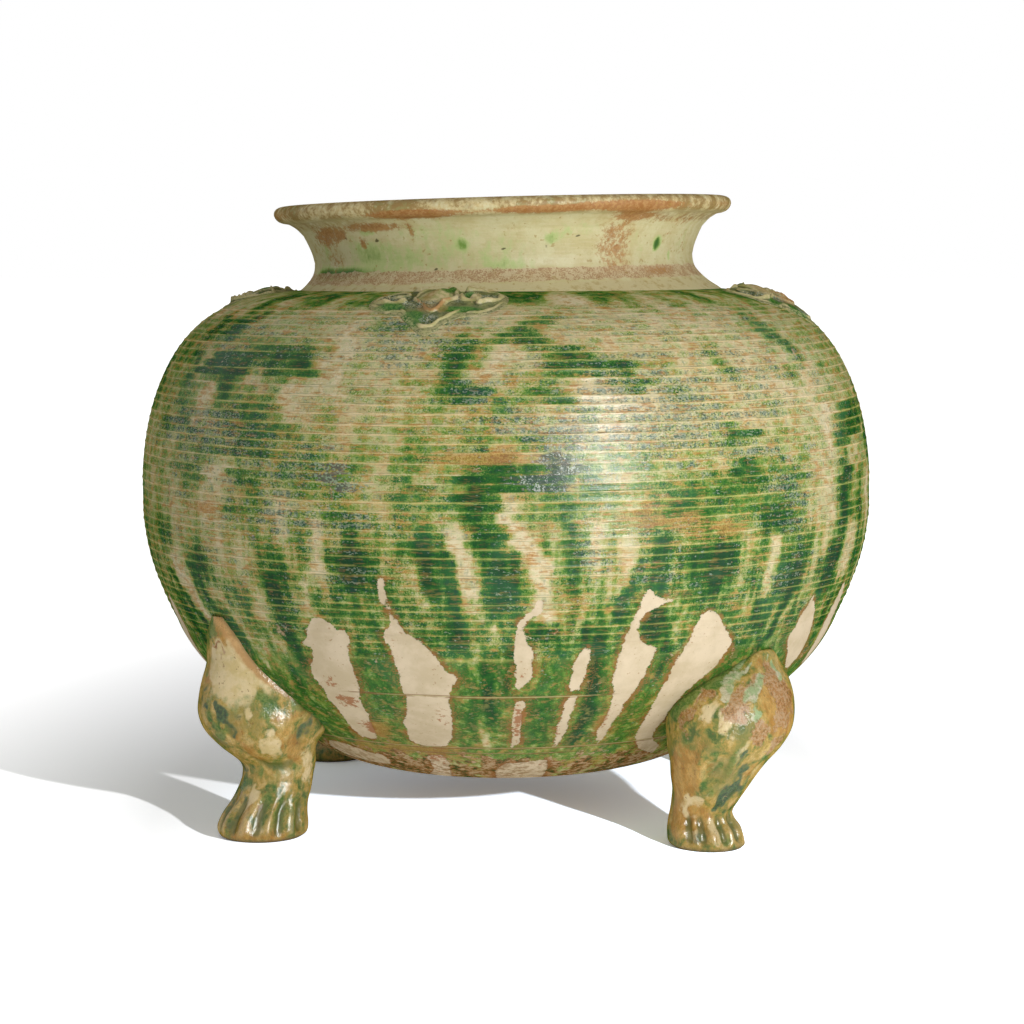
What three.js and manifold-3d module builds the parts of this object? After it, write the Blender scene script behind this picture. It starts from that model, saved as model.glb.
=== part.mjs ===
// A thrown and glazed earthenware jar on four moulded paw feet, with four moulded sprigs on its shoulder.
// Millimetres, +Z up, origin on the ground under the middle of the belly, and the front looks along -Y.
import * as THREE from "three";
import { mergeVertices } from "three/addons/utils/BufferGeometryUtils.js";
import Module from "manifold-3d";

const wasm = await Module();
wasm.setup();

// Driving dimensions of the thrown vessel
const BELLY_RADIUS = 135.4;
const BELLY_HEIGHT = 119;
const BASE_HEIGHT = 16.5;
const WALL = 6.5;
const FLOOR = 8;
const SEAT_HEIGHT = 192.5;
const SEAT_RADIUS = 75;
const THROAT_RADIUS = 65;
const WAIST_RADIUS = 70.4;
const WAIST_HEIGHT = 201.5;
const LIP_RADIUS = 84.8;
const LIP_TOP = 224.5;
const LIP_THICKNESS = 5.4;

// The potter set the belly down a little askew, and the neck a little more
const BELLY_LEAN = THREE.MathUtils.degToRad(0.45);
const NECK_LEAN = THREE.MathUtils.degToRad(1.05);

// Luted pieces keep this seam of slip between them
const SEAM = 0.3;

// How finely the round forms are divided
const TURN_STEPS = 60;
const BELLY_STEPS = 30;
const CAVITY_STEPS = 11;
const FOOT_SIDES = 48;
const SPRIG_SIDES = 52;

const v2 = (radius, height) => new THREE.Vector2(radius, height);

// Points along a smooth curve through the given profile points
function smooth(points, steps) {
  return new THREE.SplineCurve(points).getSpacedPoints(steps);
}

// The belly's outside, from the edge of the flat base up to the seat of the neck
const bellyProfile = smooth(
  [
    v2(46, BASE_HEIGHT),
    v2(57, 18.6),
    v2(67, 22),
    v2(78, 28),
    v2(91.4, 38.2),
    v2(105.5, 48.2),
    v2(116.9, 60.2),
    v2(124.8, 74.2),
    v2(132, 92.2),
    v2(135, 107),
    v2(BELLY_RADIUS, BELLY_HEIGHT),
    v2(135, 131),
    v2(132.5, 146.2),
    v2(127.9, 160.2),
    v2(121.2, 172.2),
    v2(112, 181.8),
    v2(101, 187.8),
    v2(89, 190.9),
    v2(SEAT_RADIUS, SEAT_HEIGHT),
  ],
  BELLY_STEPS,
);

// The height of the shoulder's outside at a radius, above the widest part of the belly
function shoulderHeight(radius) {
  for (let i = bellyProfile.length - 1; i > 0; i--) {
    const above = bellyProfile[i];
    const below = bellyProfile[i - 1];
    if (radius <= below.x) {
      const share = (radius - above.x) / (below.x - above.x);
      return THREE.MathUtils.lerp(above.y, below.y, share);
    }
  }
  return BELLY_HEIGHT;
}

// Turns a profile about the vertical axis
function turned(profile) {
  return new THREE.LatheGeometry(profile, TURN_STEPS).rotateX(Math.PI / 2);
}

// Keeps the places of a geometry's corners alone, each of them once
function weld(geometry) {
  geometry.deleteAttribute("normal");
  geometry.deleteAttribute("uv");
  return mergeVertices(geometry, 1e-4);
}

function toSolid(geometry) {
  const welded = weld(geometry);
  return new wasm.Manifold(
    new wasm.Mesh({
      numProp: 3,
      vertProperties: welded.attributes.position.array,
      triVerts: new Uint32Array(welded.index.array),
    }),
  );
}

function toGeometry(solid) {
  const mesh = solid.getMesh();
  return new THREE.BufferGeometry()
    .setAttribute("position", new THREE.BufferAttribute(mesh.vertProperties, 3))
    .setIndex(new THREE.BufferAttribute(mesh.triVerts, 1));
}

// Tips a geometry to the left, about a level line at a height
function lean(geometry, angle, height) {
  return geometry.translate(0, 0, -height).rotateY(-angle).translate(0, 0, height);
}

// The belly: a closed bowl with an open top, its wall even but for a thicker floor
function bellyGeometry() {
  const inner = smooth(
    [
      v2(THROAT_RADIUS, SEAT_HEIGHT),
      v2(THROAT_RADIUS + 5, SEAT_HEIGHT - 7),
      v2(104, 177),
      v2(121.5, 158),
      v2(BELLY_RADIUS - WALL, BELLY_HEIGHT),
      v2(118, 77),
      v2(100, 52),
      v2(76, 33.5),
      v2(42, BASE_HEIGHT + FLOOR),
    ],
    CAVITY_STEPS,
  );
  return turned([v2(0, BASE_HEIGHT), ...bellyProfile, ...inner, v2(0, BASE_HEIGHT + FLOOR)]);
}

// The belly's outside, filled and swollen by the seam, to cut the luted pieces with
function swollenBelly() {
  const outer = bellyProfile.map((p) => v2(p.x + SEAM, p.y + (p.y > BELLY_HEIGHT ? SEAM : -SEAM)));
  return turned([v2(0, BASE_HEIGHT - SEAM), ...outer, v2(0, SEAT_HEIGHT + SEAM)]);
}

// The neck flares from its waist to a rounded lip with a narrow flat top
function neckSolid() {
  const lipFoot = LIP_TOP - LIP_THICKNESS;
  const outside = smooth(
    [
      v2(SEAT_RADIUS + 1, SEAT_HEIGHT - 1.5),
      v2(SEAT_RADIUS - 1.8, SEAT_HEIGHT + 2),
      v2(SEAT_RADIUS - 4, SEAT_HEIGHT + 6),
      v2(WAIST_RADIUS, WAIST_HEIGHT),
      v2(71.8, 208),
      v2(73.9, 213),
      v2(77.6, 217.4),
      v2(81.2, lipFoot),
    ],
    11,
  );
  const lip = [
    v2(LIP_RADIUS - 1.6, lipFoot + 0.6),
    v2(LIP_RADIUS - 0.3, lipFoot + 1.8),
    v2(LIP_RADIUS, lipFoot + 3.2),
    v2(LIP_RADIUS - 0.8, LIP_TOP - 0.8),
    v2(LIP_RADIUS - 2.8, LIP_TOP),
    v2(LIP_RADIUS - 5.4, LIP_TOP),
  ];
  const inside = smooth(
    [
      v2(LIP_RADIUS - 7.4, LIP_TOP - 0.9),
      v2(72.4, 218),
      v2(67.4, 210),
      v2(THROAT_RADIUS, WAIST_HEIGHT),
      v2(THROAT_RADIUS, SEAT_HEIGHT - 1.5),
    ],
    6,
  );
  const profile = [...outside, ...lip, ...inside];
  const leaning = lean(turned([...profile, profile[0]]), NECK_LEAN, SEAT_HEIGHT);
  return toSolid(leaning).trimByPlane([0, 0, 1], SEAT_HEIGHT + SEAM);
}

// A closed body through rings of points, with a point in the middle of each end
function loft(rings) {
  const sides = rings[0].length;
  const places = rings.flat();
  const middleOf = (ring) =>
    ring.reduce((sum, p) => sum.add(p), new THREE.Vector3()).divideScalar(ring.length);
  const foot = places.length;
  places.push(middleOf(rings[0]), middleOf(rings[rings.length - 1]));
  const faces = [];
  for (let i = 0; i < sides; i++) {
    const next = (i + 1) % sides;
    for (let ring = 0; ring < rings.length - 1; ring++) {
      const low = ring * sides;
      const high = low + sides;
      faces.push(low + i, low + next, high + next, low + i, high + next, high + i);
    }
    const last = (rings.length - 1) * sides;
    faces.push(foot, next, i, foot + 1, last + i, last + next);
  }
  return new THREE.BufferGeometry()
    .setAttribute("position", new THREE.Float32BufferAttribute(places.flatMap((p) => p.toArray()), 3))
    .setIndex(faces);
}

// Two moulds made the paw feet. Each ring of a foot, from the sole up to the tip of the haunch, gives its height,
// its middle's reach from the axis, how far the middle sways sideways, and half its depth and half its width.
const ring = (height, reach, sway, deep, wide) => ({ height, reach, sway, deep, wide });
const TALL_FOOT = [
  ring(0, 108.2, 0, 14.4, 13.7),
  ring(1.4, 108.2, 0, 15.9, 15.1),
  ring(4, 108.1, 0, 16.2, 15.4),
  ring(8, 107.2, 0, 15.2, 14.4),
  ring(12, 105.4, 0, 13.9, 13.2),
  ring(16, 103.4, 0, 13.3, 12.7),
  ring(21, 101.8, 0, 12.8, 12.1),
  ring(26, 101.6, -0.2, 13.6, 12.9),
  ring(32, 105.2, -1, 17, 16.2),
  ring(38, 106.6, -1.8, 21.1, 19.6),
  ring(44, 106.6, -2.5, 23.1, 21),
  ring(50, 105.6, -2.9, 23.5, 20.9),
  ring(56, 105.8, -2.6, 22.3, 19.5),
  ring(62, 107.9, -2, 18.8, 16.6),
  ring(68, 113, -0.8, 13.6, 13),
  ring(74, 119.3, 0.6, 7.7, 8.4),
  ring(80, 123.6, 2, 3.4, 3.2),
];
const SLANTED_FOOT = [
  ring(0, 107.8, 0, 12.6, 12),
  ring(1.4, 107.4, 0, 13.8, 13.1),
  ring(3.5, 106.6, 0, 13.6, 12.9),
  ring(6, 106, 0, 13.1, 12.6),
  ring(9, 104.8, 0, 11.9, 11.4),
  ring(12.5, 104.9, 0, 11.2, 10.9),
  ring(16, 106.1, 0.4, 11.9, 11.6),
  ring(20, 107.7, 0.8, 13, 12.8),
  ring(25, 109.1, 1.3, 14.8, 14.8),
  ring(30, 110.9, 1.8, 16.6, 16.8),
  ring(36, 113, 2.7, 19.2, 20.3),
  ring(42, 114.8, 3.7, 20, 22.4),
  ring(48, 115.5, 4.7, 19.3, 22.6),
  ring(54, 115.3, 6.5, 17.6, 21),
  ring(60, 115.8, 9.3, 13.6, 16.2),
  ring(65, 117, 11.8, 7.6, 9.2),
  ring(69, 118, 13.6, 3, 3.6),
];

// Clefts part the toes, at these angles from the foot's front, as high up as the toes go
const CLEFT_DEPTH = 1.5;
const CLEFT_HALF_WIDTH = 8;

const FEET = [
  { name: "front_left_foot", azimuth: -52.9, rings: TALL_FOOT, clefts: [-16, 15.4, 49.6, 78.9, 112.4], toes: 20 },
  { name: "front_right_foot", azimuth: 40.6, rings: SLANTED_FOOT, clefts: [-70.6, -48.6, -14.6, 14.4, 44.4], toes: 12 },
  { name: "back_right_foot", azimuth: 130, rings: SLANTED_FOOT, clefts: [-60, -30, 0, 30, 60], toes: 12 },
  { name: "back_left_foot", azimuth: -138.1, rings: TALL_FOOT, clefts: [-64, -32, 0, 32, 64], toes: 20 },
];

// How far the clefts draw in a paw's outline, at an angle from its front and a height
function cleftAt(degrees, height, clefts, toes) {
  const rise = THREE.MathUtils.smoothstep(height, 0.5, 5);
  const fall = 1 - THREE.MathUtils.smoothstep(height, toes * 0.6, toes * 1.15);
  const nearest = Math.min(...clefts.map((cleft) => Math.abs(degrees - cleft)));
  return CLEFT_DEPTH * rise * fall * Math.exp(-((nearest / CLEFT_HALF_WIDTH) ** 2));
}

function footSolid({ azimuth, rings, clefts, toes }) {
  const outlines = rings.map(({ height, reach, sway, deep, wide }) => {
    const outline = [];
    for (let i = 0; i < FOOT_SIDES; i++) {
      const degrees = (i / FOOT_SIDES) * 360 - 180;
      const angle = THREE.MathUtils.degToRad(degrees);
      const cleft = cleftAt(degrees, height, clefts, toes);
      outline.push(
        new THREE.Vector3(
          reach + (deep - cleft) * Math.cos(angle),
          sway + (wide - cleft) * Math.sin(angle),
          height,
        ),
      );
    }
    return outline;
  });
  return toSolid(loft(outlines).rotateZ(THREE.MathUtils.degToRad(azimuth - 90)));
}

// A sprig pressed from a mould. Its places are across and down the shoulder, from its middle.
const SPRIG_RADIUS = 94;
const SPRIG_AZIMUTHS = [-13.5, 76.5, 166.5, -103.5];
const SPRIG_RINGS = [0.15, 0.3, 0.44, 0.57, 0.69, 0.8, 0.9, 1];
const SPRIG_HEART = v2(1, 4);
const SPRIG_EDGE = 0.6;
const SPRIG_BED = 1;

const sprigOutline = new THREE.SplineCurve([
  v2(1, -10.5),
  v2(-5, -8),
  v2(-12, -7),
  v2(-18, -4),
  v2(-20, 3),
  v2(-18, 10),
  v2(-11, 15),
  v2(-5.5, 18.5),
  v2(1, 25.5),
  v2(7.5, 18.5),
  v2(14, 15.5),
  v2(20.5, 12),
  v2(24, 5),
  v2(22.5, -3),
  v2(16.5, -7),
  v2(8, -7.5),
  v2(1, -10.5),
]);

// Raised lines of the relief: a rimmed lozenge with a boss, a scroll on each side and a pointed leaf below
const SPRIG_LINES = [
  { height: 1.7, width: 1.7, through: [v2(-6, 4.5), v2(1.5, 14), v2(8, 4.5), v2(1, -8), v2(-6, 4.5)] },
  { height: 2.1, width: 2.4, through: [v2(0.6, -3), v2(1.4, 6)] },
  { height: 1.5, width: 1.6, through: [v2(-9, 10), v2(-14, 9), v2(-17, 3), v2(-15, -4), v2(-10, -3)] },
  { height: 1.5, width: 1.6, through: [v2(9.5, 10), v2(17, 10), v2(21, 3), v2(18, -4), v2(13, -1), v2(14, 5)] },
  { height: 1.5, width: 1.6, through: [v2(-4, 15), v2(1.4, 23), v2(7, 15)] },
];

function reliefAt(place) {
  let raised = 0;
  for (const { height, width, through } of SPRIG_LINES) {
    for (let i = 1; i < through.length; i++) {
      const span = through[i].clone().sub(through[i - 1]);
      const share = THREE.MathUtils.clamp(place.clone().sub(through[i - 1]).dot(span) / span.lengthSq(), 0, 1);
      const away = place.distanceTo(through[i - 1].clone().addScaledVector(span, share));
      raised = Math.max(raised, height * Math.exp(-((away / width) ** 2)));
    }
  }
  return raised;
}

// A point over the shoulder at a place on the sprig, raised above the surface
function onShoulder(place, raised) {
  const radius = SPRIG_RADIUS + place.y * 0.94;
  const slope = (shoulderHeight(radius - 1) - shoulderHeight(radius + 1)) / 2;
  const normal = v2(slope, 1).normalize();
  const out = radius + normal.x * raised;
  const turn = place.x / SPRIG_RADIUS;
  return new THREE.Vector3(
    out * Math.sin(turn),
    -out * Math.cos(turn),
    shoulderHeight(radius) + normal.y * raised,
  );
}

function sprigSolid(azimuth) {
  const outline = sprigOutline.getSpacedPoints(SPRIG_SIDES).slice(1);
  const ringAt = (share, raisedAt) =>
    outline.map((edge) => {
      const place = SPRIG_HEART.clone().lerp(edge, share);
      return onShoulder(place, raisedAt(place, share));
    });
  const top = (place, share) => SPRIG_EDGE + SPRIG_BED * (1 - share ** 6) + reliefAt(place) * (1 - share ** 12);
  const under = [0.5, 1].map((share) => ringAt(share, () => -1));
  const over = SPRIG_RINGS.map((share) => ringAt(share, top)).reverse();
  return toSolid(loft([...under, ...over]).rotateZ(THREE.MathUtils.degToRad(azimuth)));
}

function glaze(color, roughness) {
  return new THREE.MeshStandardMaterial({ color, roughness, metalness: 0 });
}

const GREEN_GLAZE = glaze(0x7f8f52, 0.35);
const CREAM_GLAZE = glaze(0xcdbb8c, 0.4);
const AMBER_GLAZE = glaze(0xa8974f, 0.25);

function piece(name, geometry, material) {
  const mesh = new THREE.Mesh(geometry, material);
  mesh.name = name;
  return mesh;
}

// The leaning vessel turns about the middle of its belly, so that the belly stays over the origin
function leanVessel(geometry) {
  return lean(geometry, BELLY_LEAN, BELLY_HEIGHT);
}

const jar = new THREE.Group();
const cutter = toSolid(leanVessel(swollenBelly()));
jar.add(piece("jar_body", leanVessel(weld(bellyGeometry())), GREEN_GLAZE));
jar.add(piece("neck", leanVessel(toGeometry(neckSolid())), CREAM_GLAZE));
for (const foot of FEET) {
  jar.add(piece(foot.name, toGeometry(footSolid(foot).subtract(cutter)), AMBER_GLAZE));
}
SPRIG_AZIMUTHS.forEach((azimuth, i) => {
  const name = "shoulder_sprig_" + (i + 1);
  const leaning = toSolid(leanVessel(toGeometry(sprigSolid(azimuth))));
  jar.add(piece(name, toGeometry(leaning.subtract(cutter)), GREEN_GLAZE));
});

export default jar;
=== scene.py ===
# The look of a thrown, splash-glazed jar on four paw feet, built around its CAD parts.
# Metres, +Z up, origin on the ground under the belly, and the front looks along -Y.
# Azimuths are degrees about the vertical axis, 0 at the front and growing to the right.
import math

import bpy
import numpy as np
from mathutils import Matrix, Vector


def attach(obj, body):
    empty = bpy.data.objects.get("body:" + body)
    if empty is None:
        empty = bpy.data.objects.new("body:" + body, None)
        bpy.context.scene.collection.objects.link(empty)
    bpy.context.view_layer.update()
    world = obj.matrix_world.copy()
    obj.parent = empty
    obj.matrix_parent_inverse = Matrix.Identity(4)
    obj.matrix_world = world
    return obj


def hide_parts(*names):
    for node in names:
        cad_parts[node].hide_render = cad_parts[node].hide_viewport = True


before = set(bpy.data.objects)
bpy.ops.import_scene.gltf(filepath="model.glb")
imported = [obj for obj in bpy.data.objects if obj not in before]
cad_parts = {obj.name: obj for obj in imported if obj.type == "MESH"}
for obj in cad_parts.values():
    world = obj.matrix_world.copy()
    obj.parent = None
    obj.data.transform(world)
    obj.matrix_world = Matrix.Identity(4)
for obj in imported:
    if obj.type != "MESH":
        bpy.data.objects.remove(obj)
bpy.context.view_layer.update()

MM = 0.001

# The vessel, in millimetres, as in the CAD
BELLY_HEIGHT = 119
BASE_HEIGHT = 16.5
FLOOR_HEIGHT = 24.5
SEAT_HEIGHT = 192.5
BELLY_LEAN = math.radians(0.45)
NECK_LEAN = math.radians(1.05)
BELLY_PROFILE = [
    (46, 16.5), (57, 18.6), (67, 22), (78, 28), (91.4, 38.2), (105.5, 48.2), (116.9, 60.2), (124.8, 74.2),
    (132, 92.2), (135, 107), (135.4, 119), (135, 131), (132.5, 146.2), (127.9, 160.2), (121.2, 172.2),
    (112, 181.8), (101, 187.8), (89, 190.9), (75, 192.5),
]
CAVITY_PROFILE = [
    (65, 192.5), (70, 185.5), (104, 177), (121.5, 158), (128.9, 119), (118, 77), (100, 52), (76, 33.5),
    (42, 24.5),
]
NECK_OUTSIDE = [
    (84, 187), (80.5, 190.6), (77.6, 192.6), (75.1, 194.4), (73.1, 196.4), (71.2, 199), (70.4, 202),
    (70.7, 205.2), (71.8, 208.6), (73.9, 213), (76.6, 216.2), (79.4, 217.9), (81.6, 218.4),
]
NECK_LIP = [
    (81.6, 218.4), (83.3, 219.2), (84.5, 220.7), (84.75, 222.2), (84, 223.6), (82.2, 224.4), (80, 224.5),
]
NECK_INSIDE = [(80, 224.5), (77.4, 223.6), (72.4, 218), (67.4, 210), (65, 201.5), (66, 187)]

# The comb left ridges this far apart along the wall, give or take a share, between these heights
COMB_PITCH = 3.1
PITCH_SPREAD = 0.09
COMB_DEPTH = 0.22
COMB_LOW = 71
COMB_HIGH = 187.5
# Rows of points across a groove, as shares of the pitch, and how high the ridge still is at each
GROOVE_ROWS = [(0, 1), (0.14, 0.4), (0.34, 0), (0.66, 0), (0.86, 0.4)]
# Ridges wander along the wall and fade, each by this many waves round the jar
RIDGE_WANDER = 0.34
WANDER_WAVES = 5
FADE_WAVES = 9
# How far the glaze's layout slips from groove to groove, in degrees
LAYOUT_SLIP = 0.8
# and how far it sways sideways in degrees and up in millimetres, over patches of this size
SWAY_TURN = 4
SWAY_LIFT = 4
SWAY_WIDTH = 3.2
SWAY_RISE = 5
# Lines cut into the plain wall: height, azimuths of the ends and strength
INCISED_LINES = [(57.4, -8, 15, 1), (57.8, -26, -8, 0.6), (35, -60, 60, 0.8), (32.6, -30, 14, 0.6)]
LINE_DEPTH = 0.3
LINE_WIDTH = 0.4
# Rows of points across a cut line
LINE_ROWS = [-1, -0.45, 0, 0.45, 1]
# Rows on the plain wall below the comb and above it, and round the cavity
PLAIN_ROWS = 42
SHOULDER_ROWS = 12
CAVITY_ROWS = 16
# Points on the fine curve of the wall, and the one from which it is the shoulder alone
WALL_POINTS = 900
SHOULDER_START = 500

# The front has the finer columns
FRONT_COLUMNS = 200
BACK_COLUMNS = 86
AZIMUTHS = np.concatenate([
    np.linspace(-90, 90, FRONT_COLUMNS, endpoint=False),
    np.linspace(90, 270, BACK_COLUMNS, endpoint=False),
])


def smooth_curve(points, count):
    """Points spaced evenly along a smooth curve through the given ones."""
    known = np.array(points, float)
    ends = np.vstack([2 * known[0] - known[1], known, 2 * known[-1] - known[-2]])
    t = np.linspace(0, 1, 40, endpoint=False)[:, None]
    fine = []
    for a, b, c, d in zip(ends, ends[1:], ends[2:], ends[3:]):
        bend = (2 * a - 5 * b + 4 * c - d) * t**2 + (3 * b - a - 3 * c + d) * t**3
        fine.append(b + 0.5 * ((c - a) * t + bend))
    fine = np.vstack(fine + [known[-1:]])
    way = np.concatenate([[0], np.cumsum(np.linalg.norm(np.diff(fine, axis=0), axis=1))])
    wanted = np.linspace(0, way[-1], count)
    return np.column_stack([np.interp(wanted, way, column) for column in fine.T])


def smoothstep(low, high, value):
    share = np.clip((value - low) / (high - low), 0, 1)
    return share * share * (3 - 2 * share)


def soft_span(value, low, high, blur):
    """1 between low and high, falling to 0 over the blur at each end."""
    return smoothstep(low - blur, low + blur, value) * (1 - smoothstep(high - blur, high + blur, value))


def lean(places, angle, height):
    """Tips places to the left about a level line at a height."""
    x, z = places[..., 0], places[..., 2] - height
    cos, sin = math.cos(angle), math.sin(angle)
    return np.stack([x * cos - z * sin, places[..., 1], x * sin + z * cos + height], -1)


def lean_vessel(places):
    return lean(places, BELLY_LEAN, BELLY_HEIGHT)


def around(radius, height, azimuths=AZIMUTHS):
    """Places on rings, from radii and heights of one row each or of one point each."""
    turn = np.radians(azimuths)
    radius, height = np.broadcast_arrays(radius, height)
    shape = np.broadcast_shapes(radius.shape, turn.shape)
    radius, height = np.broadcast_to(radius, shape), np.broadcast_to(height, shape)
    return np.stack([radius * np.sin(turn), -radius * np.cos(turn), height], -1)


def mound(across, up, place):
    """A soft round mound, 1 high: its middle across and up, and half of it each way."""
    middle, level, half_across, half_up = place
    return np.exp(-(((across - middle) / half_across) ** 2 + ((up - level) / half_up) ** 2))


def segment_distance(across, up, start, end):
    """How far points lie from a straight line between two places."""
    (x0, y0), (x1, y1) = start, end
    dx, dy = x1 - x0, y1 - y0
    share = np.clip(((across - x0) * dx + (up - y0) * dy) / (dx * dx + dy * dy), 0, 1)
    return np.hypot(across - x0 - share * dx, up - y0 - share * dy)


def line_distance(across, up, points):
    """How far points lie from a line through the given ones."""
    return np.min([segment_distance(across, up, *pair) for pair in zip(points, points[1:])], axis=0)


def patch_depth(across, up, edge):
    """How far each point lies inside a closed outline, in millimetres, less than 0 outside it."""
    following = np.roll(edge, -1, axis=0)
    nearest = np.min([segment_distance(across, up, *pair) for pair in zip(edge, following)], axis=0)
    inside = np.zeros(across.shape, bool)
    for (x0, y0), (x1, y1) in zip(edge, following):
        if y1 != y0:
            inside ^= ((y0 > up) != (y1 > up)) & (across < x0 + (up - y0) * (x1 - x0) / (y1 - y0))
    return np.where(inside, nearest, -nearest)


def soft_noise(across, up, seed):
    """A smooth random number for each place, -0.5 to 0.5, with features one unit wide."""
    lattice = np.random.default_rng(seed).random((64, 64)) - 0.5
    column, row = np.floor(across).astype(int), np.floor(up).astype(int)
    right, above = (np.array(share) for share in (across - column, up - row))
    right, above = right * right * (3 - 2 * right), above * above * (3 - 2 * above)

    def corner(dx, dy):
        return lattice[(row + dy) % 64, (column + dx) % 64]

    low = corner(0, 0) * (1 - right) + corner(1, 0) * right
    return low * (1 - above) + (corner(0, 1) * (1 - right) + corner(1, 1) * right) * above


def ellipses(azimuth, height, rows):
    """The sum of soft round patches at each point."""
    total = np.zeros(np.broadcast_shapes(azimuth.shape, height.shape))
    for middle, level, half_turn, half_rise, amount in rows:
        away = ((azimuth - middle) / half_turn) ** 2 + ((height - level) / half_rise) ** 2
        total += amount * np.exp(-0.7 * away**1.5)
    return total


def make_piece(name, rings, ends, material, node, fields):
    """A smooth closed piece through rings of points, which stands for a node.

    Places are in millimetres. Where it has ends, a fan round the given point closes each of them.
    Fields hold a number for each point of the rings, for the material to read."""
    rows, columns = rings.shape[:2]
    capped = ends is not None
    places = rings.reshape(-1, 3)
    start = np.arange(rows * columns).reshape(rows, columns)
    after = np.roll(start, -1, axis=1)
    faces = np.stack([start[:-1], after[:-1], after[1:], start[1:]], -1).reshape(-1, 4).tolist()
    if capped:
        places = np.vstack([places, ends])
        low, high = rows * columns, rows * columns + 1
        faces += [(low, b, a) for a, b in zip(start[0].tolist(), after[0].tolist())]
        faces += [(high, a, b) for a, b in zip(start[-1].tolist(), after[-1].tolist())]
    mesh = bpy.data.meshes.new(name)
    mesh.from_pydata((places * MM).tolist(), [], faces)
    mesh.polygons.foreach_set("use_smooth", [True] * len(mesh.polygons))
    for field, values in fields.items():
        flat = np.broadcast_to(values, (rows, columns)).reshape(-1)
        if capped:
            flat = np.concatenate([flat, [flat[0], flat[-1]]])
        mesh.attributes.new(field, "FLOAT", "POINT").data.foreach_set("value", flat.astype(np.float32))
    add_uv(mesh, rows, columns, capped)
    mesh.materials.append(material)
    mesh.update()
    piece = bpy.data.objects.new(name, mesh)
    bpy.context.scene.collection.objects.link(piece)
    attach(piece, "root")
    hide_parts(node)
    return piece


def add_uv(mesh, rows, columns, capped):
    """Lays the rings out as a sheet, with the two end fans in strips below and above it."""
    across, up = np.meshgrid(np.arange(columns), np.arange(1, rows))
    corners = [(across, up), (across + 1, up), (across + 1, up + 1), (across, up + 1)]
    sheet = np.stack([np.stack(corner, -1) for corner in corners], 2).reshape(-1, 2)
    if capped:
        left = np.arange(columns)
        low_fan = [(left + 0.5, 0), (left + 1, 1), (left, 1)]
        high_fan = [(left + 0.5, rows + 1), (left, rows), (left + 1, rows)]
        for fan in (low_fan, high_fan):
            corners = [np.stack(np.broadcast_arrays(*corner), -1) for corner in fan]
            sheet = np.vstack([sheet, np.stack(corners, 1).reshape(-1, 2)])
    layer = mesh.uv_layers.new(name="OFBake")
    layer.data.foreach_set("uv", (sheet / [columns, rows + 1]).astype(np.float32).reshape(-1))


# How strongly the glaze mirrors the room, and the glancing angles over which its weathered skin stops
# doing so
GLAZE_SHINE = 0.13
FOOT_SHINE = 0.3
GLANCE_DULL = 0.72
GLANCE_CLEAR = 0.3
GLASS_IOR = 1.5


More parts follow.
